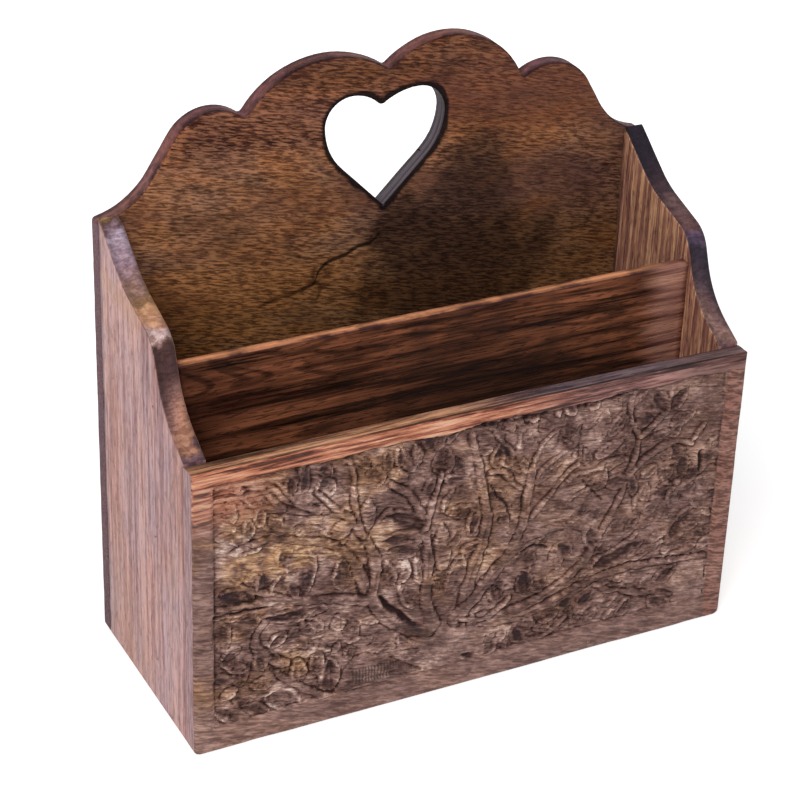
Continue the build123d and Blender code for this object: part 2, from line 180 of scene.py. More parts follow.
class Finish:
    """A material or a world under construction. Each method adds a node and returns its value."""

    def __init__(self, owner, tilt=0.0):
        owner.use_nodes = True
        self.owner, self.tree, self.tilt = owner, owner.node_tree, tilt
        self.tree.nodes.clear()

    @cached_property
    def place(self):
        """The place on the piece, in metres."""
        return self.value("Object", "ShaderNodeTexCoord", {})

    @cached_property
    def laid(self):
        """The place, turned so that the grain runs level."""
        turn = {"Vector": self.place, "Angle": radians(self.tilt)}
        return self.value("Vector", "ShaderNodeVectorRotate", turn, rotation_type="Y_AXIS")

    def node(self, kind, inputs, **settings):
        """Adds a node. An input is a constant, or the value or socket that it comes from."""
        new = self.tree.nodes.new(kind)
        for name, setting in settings.items():
            setattr(new, name, setting)
        for key, given in inputs.items():
            given = getattr(given, "socket", given)
            if isinstance(given, bpy.types.NodeSocket):
                self.tree.links.new(given, new.inputs[key])
            else:
                new.inputs[key].default_value = given
        return new

    def value(self, output, kind, inputs, **settings):
        """Adds a node and returns what one of its outputs gives."""
        return Value(self, self.node(kind, inputs, **settings).outputs[output])

    def math(self, operation, first, second=0.0):
        return self.value(0, "ShaderNodeMath", {0: first, 1: second}, operation=operation)

    def axes(self):
        """The place's X, Y and Z."""
        parts = self.node("ShaderNodeSeparateXYZ", {"Vector": self.place}).outputs
        return [Value(self, part) for part in parts]

    def attribute(self, name):
        """A number that the mesh carries at each vertex."""
        return self.value("Fac", "ShaderNodeAttribute", {}, attribute_name=name)

    def noise(self, frequency, detail=2, roughness=0.5, distortion=0, shift=0, level=False):
        """Noise from 0 to 1, in lumps per metre along X, Y and Z. It lies along the grain, or level."""
        inputs = {"Vector": self.place if level else self.laid, "Scale": frequency}
        where = self.value(0, "ShaderNodeMapping", {**inputs, "Location": (shift, shift, shift)})
        inputs = {"Vector": where, "Scale": 1.0, "Detail": detail, "Roughness": roughness}
        return self.value("Fac", "ShaderNodeTexNoise", {**inputs, "Distortion": distortion})

    def mix(self, share, first, second, blend="MIX"):
        """Two colours mixed by a share; a colour is a value or three numbers."""
        pair = [tint if isinstance(tint, Value) else (*tint, 1.0) for tint in (first, second)]
        inputs = {0: share, 6: pair[0], 7: pair[1]}
        return self.value(2, "ShaderNodeMix", inputs, data_type="RGBA", blend_type=blend)

    def bump(self, height, distance, strength=1.0, under=None):
        """The way the surface faces, once a height has roughened it."""
        inputs = {"Height": height, "Distance": distance, "Strength": strength}
        if under:
            inputs["Normal"] = under
        return self.value("Normal", "ShaderNodeBump", inputs)

    def close(self, base, roughness, normal, shine=0.5, metallic=0.0):
        """Ends the material in one Principled shader."""
        inputs = {"Base Color": base, "Roughness": roughness, "Normal": normal}
        inputs.update({"Specular IOR Level": shine, "Metallic": metallic})
        shader = self.value(0, "ShaderNodeBsdfPrincipled", inputs)
        self.node("ShaderNodeOutputMaterial", {"Surface": shader})
        return self.owner


def new_finish(name, tilt=0.0):
    return Finish(bpy.data.materials.new(name), tilt)


def scaled(tint, factor):
    """A colour, brighter or darker by a factor."""
    return tuple(min(1.0, part * factor) for part in tint)


def along(axis, lengthwise, crosswise):
    """Frequencies by axis for a texture whose grain runs along one axis."""
    return tuple(lengthwise if letter == axis else crosswise for letter in "XYZ")


def grain(finish, axis, shift, stretch=1.0, breadth=1.0, fine=1.0):
    """The marks that every board shares: broad figure, streaks, short threads and open pores."""
    figure = finish.noise(along(axis, 4.5, 30), 3, 0.55, 0.8, shift)
    streaks = finish.noise(along(axis, 40 / stretch, 310 / breadth), 3, 0.62, 0.2, shift)
    threads = finish.noise(along(axis, 150 / stretch, 800 * fine), 3, 0.65, 0.2, shift)
    dashes = finish.noise(along(axis, 170, 1100 * fine), 2, 0.5, 0.1, shift + 3)
    return SimpleNamespace(
        figure=figure.between(0.36, 0.64),
        lines=finish.math("SINE", figure * 70).between(0.2, 1),
        streaks=streaks.between(0.39, 0.61),
        threads=threads.between(0.40, 0.60),
        pores=dashes.between(0.56, 0.66),
    )


def board_finish(name, axis, light, dark, zone, edge, shift, pores, zone_share, lines, stretch, breadth,
                 threads, fine=1.0, tilt=0.0):
    """Planed hardwood with a thin finish. Broad zones lean to the zone colour, edges to the edge colour."""
    finish = new_finish(name, tilt)
    marks = grain(finish, axis, shift, stretch, breadth, fine)
    share = marks.figure * 0.16 + marks.streaks * (0.84 - threads) + marks.threads * threads
    broad = finish.noise(along(axis, 9, 22), 2, 0.5, 0.5, shift + 9)
    base = finish.mix(share, dark, light).mixed(broad.between(0.45, 0.62, 0, zone_share), zone)
    base = base.darker(marks.lines, lines).darker(marks.pores, pores)
    # Dark spots from the board's table: dark wood, and painted shadow on the back and the divider.
    stain = finish.attribute("dark_spot") * share.between(0.1, 0.9, 1, 0.75)
    base = base.mixed(stain, (0.022, 0.012, 0.010))

    worn = finish.noise((60, 60, 60), 3, 0.6, 0, shift).between(0.36, 0.62)
    fibres = finish.noise(along(axis, 70, 420), 3, 0.65, 0.3, shift + 5).between(0.36, 0.64)
    end_share = (worn - 0.5) * 0.4 + (fibres - 0.5) * 0.55 + 0.5
    edges = finish.mix(end_share, scaled(edge, 0.45), scaled(edge, 1.45))
    base = base.mixed(finish.attribute("turned").between(0.3, 0.7), edges)
    skyward = finish.attribute("skyward").between(0.1, 0.5, 0.25, 1)
    crease = finish.attribute("crease") * skyward * worn.between(0, 1, 0.9, 0.4)
    return finish, marks, share, base.mixed(crease, (0.028, 0.010, 0.016))


def close_board(finish, marks, share, base, gloss, shine=0.15):
    """Ends a board's finish: satin where the wood is sound, duller in the pores, with its grain in relief."""
    rough = share.between(0, 1, gloss + 0.1, gloss) + marks.pores * 0.2
    normal = finish.bump(marks.threads * 0.35 - marks.pores, 0.00022, 0.9)
    return finish.close(base, rough, normal, shine)


# ---- Mesh building ----

def mottle(first, second, lump, seed):
    """Smooth noise from -1 to 1 over two coordinates, in lumps of one size."""
    lattice = np.random.default_rng(seed).uniform(-1.0, 1.0, (256, 256))
    u, v = first / lump, second / lump
    i, j = np.floor(u).astype(int), np.floor(v).astype(int)
    fu, fv = u - i, v - j
    fu, fv = fu * fu * (3 - 2 * fu), fv * fv * (3 - 2 * fv)

    def corner(a, b):
        return lattice[(i + a) % 256, (j + b) % 256]

    low = corner(0, 0) * (1 - fu) + corner(1, 0) * fu
    high = corner(0, 1) * (1 - fu) + corner(1, 1) * fu
    return low * (1 - fv) + high * fv


def smooth(value, low, high):
    """A smooth step from 0 to 1 while the value goes from low to high."""
    share = np.clip((value - low) / (high - low), 0.0, 1.0)
    return share * share * (3 - 2 * share)


def add(name, data):
    """Adds an object to the scene."""
    thing = bpy.data.objects.new(name, data)
    bpy.context.scene.collection.objects.link(thing)
    return thing


def seat(piece, material, node):
    """Finishes a piece: it gets its material, rides the box and stands for its CAD node."""
    piece.data.materials.clear()
    piece.data.materials.append(material)
    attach(piece, "root")
    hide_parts(node)


def rows_of(items, name):
    """A vector that each item of a mesh carries, as rows of three."""
    flat = np.zeros(len(items) * 3, np.float32)
    items.foreach_get(name, flat)
    return flat.reshape(-1, 3).astype(float)


def vertices(mesh):
    return rows_of(mesh.vertices, "co")


def normals(mesh):
    return rows_of(mesh.vertex_normals, "vector")


def mark(mesh, name, values):
    """Writes one number at each vertex, for the material to read."""
    layer = mesh.attributes.get(name) or mesh.attributes.new(name, "FLOAT", "POINT")
    layer.data.foreach_set("value", np.asarray(values, np.float32))


def spots(places, dark):
    """How far each place lies in any spot, from 0 to 1. A spot has a centre, its reach and a strength."""
    share = np.zeros(len(places))
    ragged = 0.25 * mottle(places[:, 0] + places[:, 1], places[:, 2], 6 * MM, 11)
    for centre, reach, strength in dark:
        offset = (places - np.array(centre) * MM) / (np.array(reach) * MM)
        inside = smooth(1.25 - np.sqrt((offset**2).sum(1)) + ragged, 0.0, 0.7)
        share = np.maximum(share, strength * inside)
    return share


def sliced_board(node, face_axis, wear, seed, dark=(), finer=()):
    """A board's own mesh cut into small cells, its arrises worn a little, with its marks for the finish."""
    board = bmesh.new()
    board.from_mesh(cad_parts[node].data)
    bmesh.ops.remove_doubles(board, verts=board.verts, dist=WELD)
    bmesh.ops.dissolve_limit(board, angle_limit=radians(0.3), verts=board.verts, edges=board.edges)
    low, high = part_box(node)
    for axis in range(3):
        normal = Vector((0.0, 0.0, 0.0))
        normal[axis] = 1.0
        reach = high[axis] - low[axis]
        count = int(reach / BOARD_CELL)
        cuts = [low[axis] + reach * (step + 0.013) / count for step in range(1, count)]
        for along_axis, start, end, step in finer:
            if along_axis == axis:
                cuts += [start + step * index for index in range(int((end - start) / step))]
        for cut in cuts:
            place = low.copy()
            place[axis] = cut
            everything = board.verts[:] + board.edges[:] + board.faces[:]
            bmesh.ops.bisect_plane(board, geom=everything, plane_co=place, plane_no=normal, dist=ON_PLANE)
    mesh = bpy.data.meshes.new(node)
    board.to_mesh(mesh)
    board.free()
    mesh.shade_smooth()
    mesh.set_sharp_from_angle(angle=SHARP)

    places, facing = vertices(mesh), normals(mesh)
    off_face = 1.0 - np.abs(facing[:, face_axis])
    other = places[:, (face_axis + 1) % 3] + 0.37 * places[:, face_axis]
    rub = mottle(other, places[:, 2], 9 * MM, seed) + 0.6 * mottle(other, places[:, 2], 3.1 * MM, seed + 1)
    inward = wear * smooth(off_face, 0.03, 0.3) * smooth(rub, -0.6, 1.4)
    places = np.clip(places - facing * inward[:, None], np.array(low), np.array(high))
    mesh.vertices.foreach_set("co", places.astype(np.float32).ravel())
    depth = np.minimum(places[:, face_axis] - low[face_axis], high[face_axis] - places[:, face_axis])
    mark(mesh, "turned", off_face)
    mark(mesh, "crease", smooth(off_face, 0.04, 0.15) * smooth(2.4 * MM - depth, 0.0, 1.2 * MM))
    mark(mesh, "skyward", facing[:, 2])
    mark(mesh, "dark_spot", spots(places, dark))
    mesh.update()
    return add(node + "_wood", mesh)


# ---- The carving ----

def drawn_line(points):
    """A smooth line through a few points, as places about LINE_SPACING apart."""
    knots = np.array(points, float)
    if len(knots) == 2:
        knots = np.array([knots[0], knots.mean(0), knots[1]])
    knots = np.vstack([2 * knots[0] - knots[1], knots, 2 * knots[-1] - knots[-2]])
    places = []
    for before, start, end, after in zip(knots[:-3], knots[1:-2], knots[2:-1], knots[3:]):
        count = max(2, int(np.hypot(*(end - start)) / LINE_SPACING))
        for t in np.arange(count) / count:
            bend = 2 * before - 5 * start + 4 * end - after
            twist = 3 * start - before - 3 * end + after
            places.append(0.5 * (2 * start + (end - before) * t + bend * t**2 + twist * t**3))
    places.append(knots[-2])
    return np.array(places)


class Carving:
    """A carved face as heights over a grid, in millimetres: 0 is the face and less is below it."""

    def __init__(self, x, z, ground):
        self.x, self.z, self.height = x, z, ground
        self.u = x + 0.5 * mottle(x, z, 4.3, 35) + 0.28 * mottle(x, z, 1.9, 36)
        self.v = z + 0.5 * mottle(x, z, 4.3, 37) + 0.28 * mottle(x, z, 1.9, 38)
        self.stain, self.hatch, self.used, self.tone = np.zeros((4, *x.shape))
        self.random = np.random.default_rng(41)

    def window(self, places, reach):
        """The part of the grid that lies within reach of some places."""
        low, high = places.min(0) - reach, places.max(0) + reach
        columns = np.searchsorted(self.x[:, 0], (low[0], high[0]))
        rows = np.searchsorted(self.z[len(self.z) // 2], (low[1], high[1]))
        return slice(*columns), slice(*rows)

    def near(self, points, reach):
        """The window round a drawn line, the distance of each of its places, and how far along it lies."""
        line = drawn_line(points)
        area = self.window(line, reach)
        x, z = self.u[area], self.v[area]
        nearest, share = np.full(x.shape, 1e9), np.zeros_like(x)
        for index, (start, end) in enumerate(zip(line[:-1], line[1:])):
            run = end - start
            part = np.clip(((x - start[0]) * run[0] + (z - start[1]) * run[1]) / (run @ run), 0, 1)
            distance = np.hypot(x - start[0] - part * run[0], z - start[1] - part * run[1])
            closer = distance < nearest
            nearest = np.where(closer, distance, nearest)
            share = np.where(closer, (index + part) / (len(line) - 1), share)
        return area, nearest, share

    def raise_to(self, layer, area, values):
        """Lifts one layer to the values where it lies lower."""
        layer[area] = np.maximum(layer[area], values)

    def set_in(self, area, shape, outside, outline=0.55, tone=(-1.0, 0.3)):
        """Leaves a raised shape standing in its window, with a cut round its foot that comes and goes."""
        fading_cut = smooth(mottle(self.x[area], self.z[area], 4.5, 39), -0.5, 0.4)
        self.height[area] -= outline * fading_cut * np.exp(-(((outside - 0.6) / 0.5) ** 2)) * (outside > 0)
        self.raise_to(self.height, area, shape - 2.0 * np.maximum(outside, 0))
        self.raise_to(self.used, area, outside < 0.4)
        self.tone[area] = np.where(outside <= 0.1, self.random.uniform(*tone), self.tone[area])

    def stem(self, points, start_width, end_width):
        """A branch that stands up from the ground, tapering, with a line cut along it where it is wide."""
        area, distance, share = self.near(points, 5.0)
        x, z = self.x[area], self.z[area]
        half = (start_width + (end_width - start_width) * share) / 2 * (1 + 0.22 * mottle(x, z, 5.0, 31))
        top = -0.15 - 0.35 * share - 0.4 * np.minimum(distance / half, 1) ** 3
        top += 0.2 * mottle(x, z, 3.2, 32) - 0.45 * smooth(mottle(x, z, 9.0, 33), 0.0, 0.8)
        crease = np.exp(-((distance / 0.45) ** 2)) * (half > 1.6)
        top -= 0.4 * crease * smooth(mottle(x, z, 7.0, 34), -0.5, 0.2)
        self.set_in(area, top, distance - half, 0.8, (-0.9, -0.25))

    def groove(self, points, widths, depth):
        """A cut of varying width, darkened with painted shade."""
        area, distance, share = self.near(points, 4.0)
        half = np.interp(share, np.linspace(0, 1, len(widths)), widths) / 2
        inside = smooth(1.15 - distance / half, 0.0, 0.8)
        self.height[area] -= depth * inside
        # Painted shade along the cut.
        self.raise_to(self.stain, area, inside * min(1.0, depth / 1.6))

    def petal(self, x, z, angle, long, wide, reach=3.0):
        """A pointed oval: its window, and there the run from its base, the offset from its midrib, the
        same from -1 to 1 between its edges, and the distance outside it."""
        way = np.array([cos(radians(angle)), sin(radians(angle))])
        area = self.window(np.array([(x, z), (x + long * way[0], z + long * way[1])]), wide / 2 + reach)
        run = (self.u[area] - x) * way[0] + (self.v[area] - z) * way[1]
        offset = (self.v[area] - z) * way[0] - (self.u[area] - x) * way[1]
        offset = offset + 0.35 * mottle(run + x, offset + z, 3.0, int(x + 300))
        half = wide / 2 * np.sin(pi * np.clip(run / long, 0.0, 1.0) ** 0.8) ** 0.7 + 1e-4
        beyond = np.maximum(np.maximum(-run, run - long), 0)
        outside = np.maximum(np.abs(offset) - half, 0) + beyond
        return area, run, offset, np.clip(offset / half, -1, 1), outside

    def leaf(self, x, z, angle, long, wide, dark=0.0, level=-0.3):
        """A raised leaf, dished from a high rim to a midrib, with cut side veins."""
        area, run, offset, across, outside = self.petal(x, z, angle, long, wide)
        share = np.abs(across)
        bowl = level - self.random.uniform(0, 0.5) - (0.4 + 0.09 * wide) * (1 - share**2) - 0.25 * share**6
        bowl += 0.5 * np.exp(-((offset / 0.6) ** 2))
        bowl -= 0.3 * smooth(np.sin(2 * pi * (run - 0.9 * np.abs(offset)) / 2.4), 0.1, 1.0) * (share < 0.9)
        bowl += self.random.uniform(-0.8, 0.8) * across
        self.set_in(area, bowl, outside)
        # Dark leaf tips: partly patina, partly painted shade.
        if dark:
            tip = smooth(run / long, 0.15, 0.75) * (outside <= 0) * (share < 0.85)
            self.raise_to(self.stain, area, dark * tip)

    def hollow(self, x, z, angle, long, wide, depth=1.15):
        """A leaf gouged out below the ground, with a raised lip and a bottom darkened with painted shade."""
        area, run, offset, across, outside = self.petal(x, z, angle, long, wide, 3.5)
        share, inside = np.abs(across), outside <= 0
        lip = -0.75 - 0.35 * mottle(run + z, offset + x, 4.0, 23)
        self.set_in(area, np.where(inside, lip - 0.2, lip), np.maximum(outside - 0.5, 0), 0.35)
        uneven = 0.75 + 0.25 * mottle(run + x, offset + z, 3.0, 24)
        scoop = -0.7 - (depth + 0.06 * wide) * (1 - share**2.2) * uneven
        scoop += 0.4 * np.exp(-((offset / 0.5) ** 2)) * (share < 0.9)
        self.height[area] = np.where(inside, np.minimum(self.height[area], scoop), self.height[area])
        # Painted shade in the hollow, darkest towards its tip.
        tint = self.random.uniform(0.45, 1.0) * smooth(run / long, 0.0, 0.65)
        self.raise_to(self.stain, area, tint * inside * smooth(1 - share, 0.0, 0.6))

    def rosette(self, x, z, count, long, wide, turn):
        """Petals round a small boss."""
        for angle in turn + 360.0 * np.arange(count) / count:
            start = (x + 1.2 * cos(radians(angle)), z + 1.2 * sin(radians(angle)))
            self.leaf(*start, angle, long, wide, 0.5)
        self.boss(x, z, 1.7)

    def boss(self, x, z, radius):
        """A small round bud."""
        area = self.window(np.array([(x, z)]), radius + 2.5)
        distance = np.hypot(self.u[area] - x, self.v[area] - z)
        dome = -0.1 - 0.9 * np.minimum(distance / radius, 1) ** 2
        self.set_in(area, dome, np.maximum(distance - radius, 0), 0.5)

    def raised_plot(self, x, z, reach_x, reach_z, level):
        """A part of the ground that rises softly almost to the face."""
        share = np.exp(-(((self.x - x) / reach_x) ** 2) - ((self.z - z) / reach_z) ** 2)
        self.height += smooth(share, 0.05, 0.75) * np.maximum(level - self.height, 0)

    def mound(self, outline, foot, comb_left, comb_right, comb_low, comb_high):
        """A hill of earth: smooth crown, straight foot, and a comb of upright cuts across its middle."""
        xs, tops = np.array(outline, float).T
        area = self.window(np.array([(xs[0], foot), (xs[-1], tops.max())]), 2.0)
        x, z = self.x[area], self.z[area]
        top = np.interp(x, xs, tops)
        outside = np.maximum(np.maximum(foot - z, z - top), np.maximum(xs[0] - x, x - xs[-1]))
        rise = np.clip((z - foot) / np.maximum(top - foot, 0.5), 0, 1)
        shape = -0.25 - 0.7 * rise**2 - 0.22 * smooth(np.sin(2 * pi * z / 2.6), 0.0, 1.0)
        self.set_in(area, shape, np.maximum(outside, 0), 0.7)
        comb = smooth(x - comb_left, -1, 1) * smooth(comb_right - x, -1, 1) * (outside < 0)
        comb *= smooth(z - comb_low, -0.5, 0.5) * smooth(comb_high - z, -0.5, 0.5)
        self.raise_to(self.hatch, area, comb)

    def fill_gaps(self, root, count, clear):
        """Small leaves and gouges in what ground is left, fanning out from the tree's root."""
        for _ in range(count):
            x = self.random.uniform(-FIELD_HALF + 4, FIELD_HALF - 4)
            z = self.random.uniform(FIELD_FOOT + 3, FIELD_TOP - 4)
            angle = np.degrees(np.arctan2(z - root[1], x - root[0])) + self.random.normal(0, 38)
            long, wide = self.random.uniform(5.5, 10.0), self.random.uniform(3.0, 5.2)
            kind = self.random.uniform()
            way = np.array([cos(radians(angle)), sin(radians(angle))])
            used = self.used[self.window(np.array([(x, z)]) + way * long / 2, 2.2)]
            in_open = any(np.hypot((x - a) / r, (z - b) / q) < 1 for a, b, r, q in clear)
            if used.size == 0 or used.max() > 0 or in_open:
                continue
            if kind < 0.7:
                self.leaf(x, z, angle, long, wide, (kind < 0.3) * (0.3 + 1.6 * kind), -0.5)
            else:
                self.hollow(x, z, angle, long, wide * 0.8, 0.7)

    def ladder(self, x, z, angle, long, wide):
        """A seed pod with short cuts across it."""
        area, run, _, across, outside = self.petal(x, z, angle, long, wide)
        share = np.abs(across)
        pod = -0.35 - 0.5 * share**2 - 0.4 * smooth(np.sin(2 * pi * run / 2.3), 0.1, 0.9) * (share < 0.75)
        self.set_in(area, pod, outside, 0.7)


def blurred(values, times):
    """Values evened out over the grid's neighbours."""
    for _ in range(times):
        padded = np.pad(values, 1, mode="edge")
        beside = padded[:-2, 1:-1] + padded[2:, 1:-1] + padded[1:-1, :-2] + padded[1:-1, 2:]
        values = (beside + 4 * values) / 8
    return values


# The tree of the carved front, in millimetres from the middle of its foot. A stem has the widths of its
# two ends and the points it runs through. A leaf or a hollow has its base, the way it points in degrees,
# its length and its width. A groove has the points it runs through, its widths along them and its depth.
STEMS = (
    (5.0, 2.0, ((-20, 32), (-30, 35), (-38, 41), (-45, 50), (-50, 60), (-54, 70), (-59, 80), (-66, 86),
                (-75, 90), (-84, 93), (-93, 95), (-101, 95))),
    (4.0, 2.0, ((-48, 57), (-46, 68), (-48, 78), (-53, 88), (-60, 98), (-70, 103), (-80, 105.5),
                (-90, 108.5), (-99, 113), (-108, 121))),
    (2.2, 1.2, ((-88, 108), (-92, 113), (-98, 121))),
    (2.2, 1.2, ((-72, 103), (-78, 107), (-84, 112), (-90, 121))),
    (2.0, 1.2, ((-62, 99), (-68, 106), (-73, 112))),
    (4.0, 1.8, ((-50, 55), (-58, 57), (-68, 60), (-78, 62.5), (-88, 66), (-97, 71), (-105, 76))),
    (1.6, 1.4, ((-96, 66), (-106, 67.5), (-118, 67))),
    (3.0, 2.0, ((-66, 11), (-73, 15), (-80, 21), (-87, 27), (-90, 31))),
    (3.5, 2.4, ((-86, 34), (-93, 38), (-99, 45), (-99, 52), (-95, 57))),
    (1.8, 1.4, ((-26, 87), (-34, 91), (-41, 95), (-45, 92))),
    (1.8, 1.4, ((-52, 86), (-55, 96), (-57, 106), (-57, 116), (-60, 124))),
    (5.0, 2.0, ((-18, 34), (-22, 45), (-22, 58), (-22, 70), (-24, 82), (-27, 92), (-32, 101), (-40, 108))),
    (3.0, 1.5, ((-24, 84), (-21, 95), (-18, 104), (-17, 108))),
    (6.0, 2.0, ((-4, 36), (-3, 48), (0, 60), (3, 70), (5, 80), (3, 90), (1, 100), (-1, 110), (-4, 121))),
    (1.8, 1.4, ((5, 103), (12, 101), (16, 95), (20, 91))),
    (6.0, 3.0, ((-8, 34), (2, 44), (12, 55), (19, 65), (23, 76), (24, 88), (25, 100))),
    (1.8, 1.4, ((27, 76), (34, 84), (40, 91), (47, 96))),
    (5.0, 1.5, ((0, 31), (20, 27), (40, 30), (56, 35), (70, 37.5), (85, 36.5), (100, 35), (117, 33))),
    (3.5, 3.0, ((4, 32), (14, 30), (24, 31), (34, 34), (44, 39), (52, 45), (57, 52), (56, 60), (49, 66),
                (38, 68), (27, 66), (17, 61), (9, 54))),
    (1.8, 1.4, ((-5, 33), (4, 30.5), (12, 33), (18, 38))),
    (1.4, 1.2, ((60, 46), (68, 48), (75, 51), (80, 54.5))),
    (3.0, 2.0, ((58, 54), (63, 62), (67, 70), (71, 80), (75, 92), (77, 103))),
    (1.6, 1.4, ((77, 103), (73, 110), (71, 120))),
    (2.0, 1.4, ((77, 103), (84, 108), (90, 114), (91, 121))),
    (2.4, 1.8, ((73, 84), (80, 91), (88, 95), (96, 96), (104, 93))),
    (1.8, 1.6, ((24, 16), (29, 12.5), (35, 12.5), (41, 15.5), (46, 20))),
    (2.2, 1.6, ((60, 33), (66, 29), (74, 26), (83, 22.5), (92, 20), (100, 17))),
)
LEAVES = (
    (-100, 113, 120, 10, 4), (-104, 116, 110, 7, 4), (-69, 90, 150, 16, 6.5), (-96, 94, 185, 14, 5),
    (-99, 63.5, 178, 18, 5), (-100, 62, 235, 12, 9), (-89, 29, 100, 11, 5), (-68, 37, 160, 14, 5),
    (-66, 35, 172, 18, 4), (-54, 38, 120, 12, 6), (-62, 43, 100, 8, 6), (-46, 34, 170, 12, 4),
    (-80, 22, 92, 13, 7), (-72, 24, 90, 12, 6), (-92, 26, 172, 10, 5), (-103, 36, 150, 14, 6),
    (-106, 28, 95, 12, 7), (-104, 16, 115, 12, 5), (-108, 12, 145, 11, 4.5), (-94, 12, 150, 13, 5),
    (-113, 60, 265, 14, 6), (-40, 58, 100, 14, 8), (-35, 59, 80, 12, 7), (-28, 46, 118, 14, 6),
    (-47, 108, 100, 11, 9), (-17, 107, 92, 13, 9), (-30, 112, 125, 14, 4), (-33, 108, 140, 14, 5),
    (-28, 114, 100, 10, 4), (-12, 48, 70, 18, 8), (-24, 56, 105, 14, 5), (0, 86, 172, 15, 6),
    (24, 98, 100, 24, 9), (26, 98, 60, 20, 8), (27, 92, 40, 20, 6), (22, 98, 125, 16, 6),
    (42, 110, 90, 12, 7), (42, 88, 10, 18, 5), (43, 77, 22, 16, 6), (33, 37, 110, 16, 8),
    (20, 44, 150, 14, 6), (12, 38, 100, 12, 7), (10, 44, 130, 10, 5), (40, 46, 95, 12, 6),
    (60, 40, 10, 34, 7), (79, 64, 75, 15, 7), (57, 106, 80, 14, 7), (62, 106, 60, 13, 6),
    (70, 104, 100, 13, 6), (56, 98, 25, 14, 5), (57, 92, 5, 15, 5), (80, 100, 70, 10, 6),
    (92, 105, 20, 12, 5), (45, 14, 80, 12, 7), (50, 15, 60, 12, 6), (62, 31, 345, 16, 5),
    (66, 14, 10, 13, 5),
)
DARK_LEAVES = (
    (-68, 109, 110, 10, 8), (-77, 86, 268, 20, 8), (-61, 63, 95, 15, 8), (-100, 68, 155, 16, 9),
    (-96, 70, 95, 11, 6.5), (-91, 68, 75, 10, 6), (25, 38, 95, 12, 8),
)
HOLLOWS = (
    (-98, 112, 130, 9, 3.5), (-84, 114, 100, 8, 4), (-102, 98, 100, 9, 4), (-86, 91, 250, 9, 5),
    (-68, 56, 176, 29, 5), (-86, 49, 215, 9, 4.5), (-66, 15, 92, 15, 8.5), (-80, 12, 150, 17, 10),
    (-96, 33, 110, 9, 5), (-25, 84, 150, 20, 8), (-25, 79, 172, 19, 7), (-27, 73, 165, 15, 6),
    (-37, 116, 90, 8, 3), (-42, 116, 90, 8, 3), (-4, 98, 150, 13, 7), (-1, 86, 262, 12, 5),
    (14, 104, 115, 13, 6), (9, 104, 95, 10, 5), (46, 52, 130, 9, 6), (58, 42, 18, 26, 7),
    (98, 47, 70, 9, 9), (98, 36, 5, 10, 4), (59, 53, 110, 11, 7), (89, 113, 125, 12, 7),
    (91, 113, 55, 12, 7), (62, 84, 350, 12, 5), (52, 24, 40, 8, 6), (42, 26, 30, 7, 5),
    (25, 13, 115, 10, 5), (4, 12, 160, 9, 4), (74, 13, 60, 9, 5), (100, 11.5, 150, 13, 6),
    (92, 26, 30, 11, 6),
)
LADDERS = ((-51, 88, 88, 16, 7), (-15, 60, 93, 24, 7))
FIRST_GROOVE = (((-24, 33), (-31, 40), (-38, 47), (-44, 54)), (1, 4.5, 2.5), 2.2)
GROOVES = (
    (((6, 96), (9, 90), (14, 84), (16, 76)), (0.9, 1.6, 0.9), 0.9),
    (((48, 115), (47, 100)), (0.9, 0.9), 0.7),
    (((50, 88), (60, 76)), (0.8, 1.3, 0.8), 0.7),
    (((22, 59), (28, 61), (35, 58)), (1, 1.6, 1), 1.4),
    (((109, 89), (109, 79)), (1.4, 2.2, 1.4), 1.6),
    (((-85, 12), (-78, 11)), (1.4, 1.0), 1.4),
    (((65, 39.5), (80, 39.5), (96, 37.5), (110, 35.5)), (0.8, 1.4, 0.8), 1.0),
    (((-92, 63.5), (-106, 65), (-117, 65)), (0.8, 1.4, 0.8), 1.0),
    (((-14, 125.6), (4, 125.0), (22, 124.7), (40, 125.2), (52, 123.9), (66, 125.2)),
     (0.6, 2.6, 2.2, 3.0, 3.4, 1), 1.0),
    (((117, 14), (117, 28)), (0.9, 0.9), 0.9),
    (((100, 11.6), (117, 11.6)), (0.9, 0.9), 0.9),
)
# Centre and reach both ways, and for a raised plot its level. Buds have a radius, rosettes the number, the
# length, the width and the turn of their petals.
RAISED_PLOTS = ((-6, 22, 26, 13, -0.3), (112, 20, 13, 11, -0.25), (-112, 84, 8, 6, -1.4))
BUDS = ((-62, 92, 4.0), (-113, 14, 1.6), (30, 12, 1.4))
ROSETTES = ((-79, 51, 4, 6.5, 5.0, 45), (98, 76, 6, 11.0, 7.0, 20), (12, 17, 4, 5.5, 4.6, 45))
MOUND = ((-64, 12.5), (-60, 22), (-55, 27.5), (-50, 28.5), (-42, 25), (-32, 18.5), (-23, 12.5))
MOUND_COMB = (-57.0, -23.0, 14.5, 22.0)  # left, right, low and high end of its upright cuts
TREE_ROOT = (-6, 25)
GAP_TRIES = 900  # small leaves and gouges tried out in what ground is left, except in OPEN_GROUND
OPEN_GROUND = (
    (-95, 85, 21, 7), (-67, 73, 9, 9), (-113, 117, 6, 6), (-6, 115, 7, 7), (108, 110, 10, 15),
    (-6, 21, 18, 9), (109, 20, 9, 9),
)
FIELD_HALF = 117.9  # the carved field's half width, foot and top
FIELD_FOOT = 12.0
FIELD_TOP = 126.6

# Places across a softened edge, and heights of the face's rows below the field and above it, both counted
# from the board's own edge.
ROUNDING = (0.0, 0.12, 0.4, 0.75, 1.2)
FOOT_ROWS = (*ROUNDING, 2.2, 3.5, 4.8, 6.0, 7.0, 8.0)
HEAD_ROWS = (5.2, 4.2, 3.2, 2.4, 1.9, 1.5, *ROUNDING[::-1])


def graded(low, high, step):
    """Places from low to high: close together at both ends, where the arris is, and a step apart between."""
    ends = np.array(ROUNDING)
    start, end = low + ends[-1], high - ends[-1]
    count = max(1, round((end - start) / step))
    middle = start + (end - start) * np.arange(1, count) / count
    return np.concatenate([low + ends, middle, high - ends[::-1]])


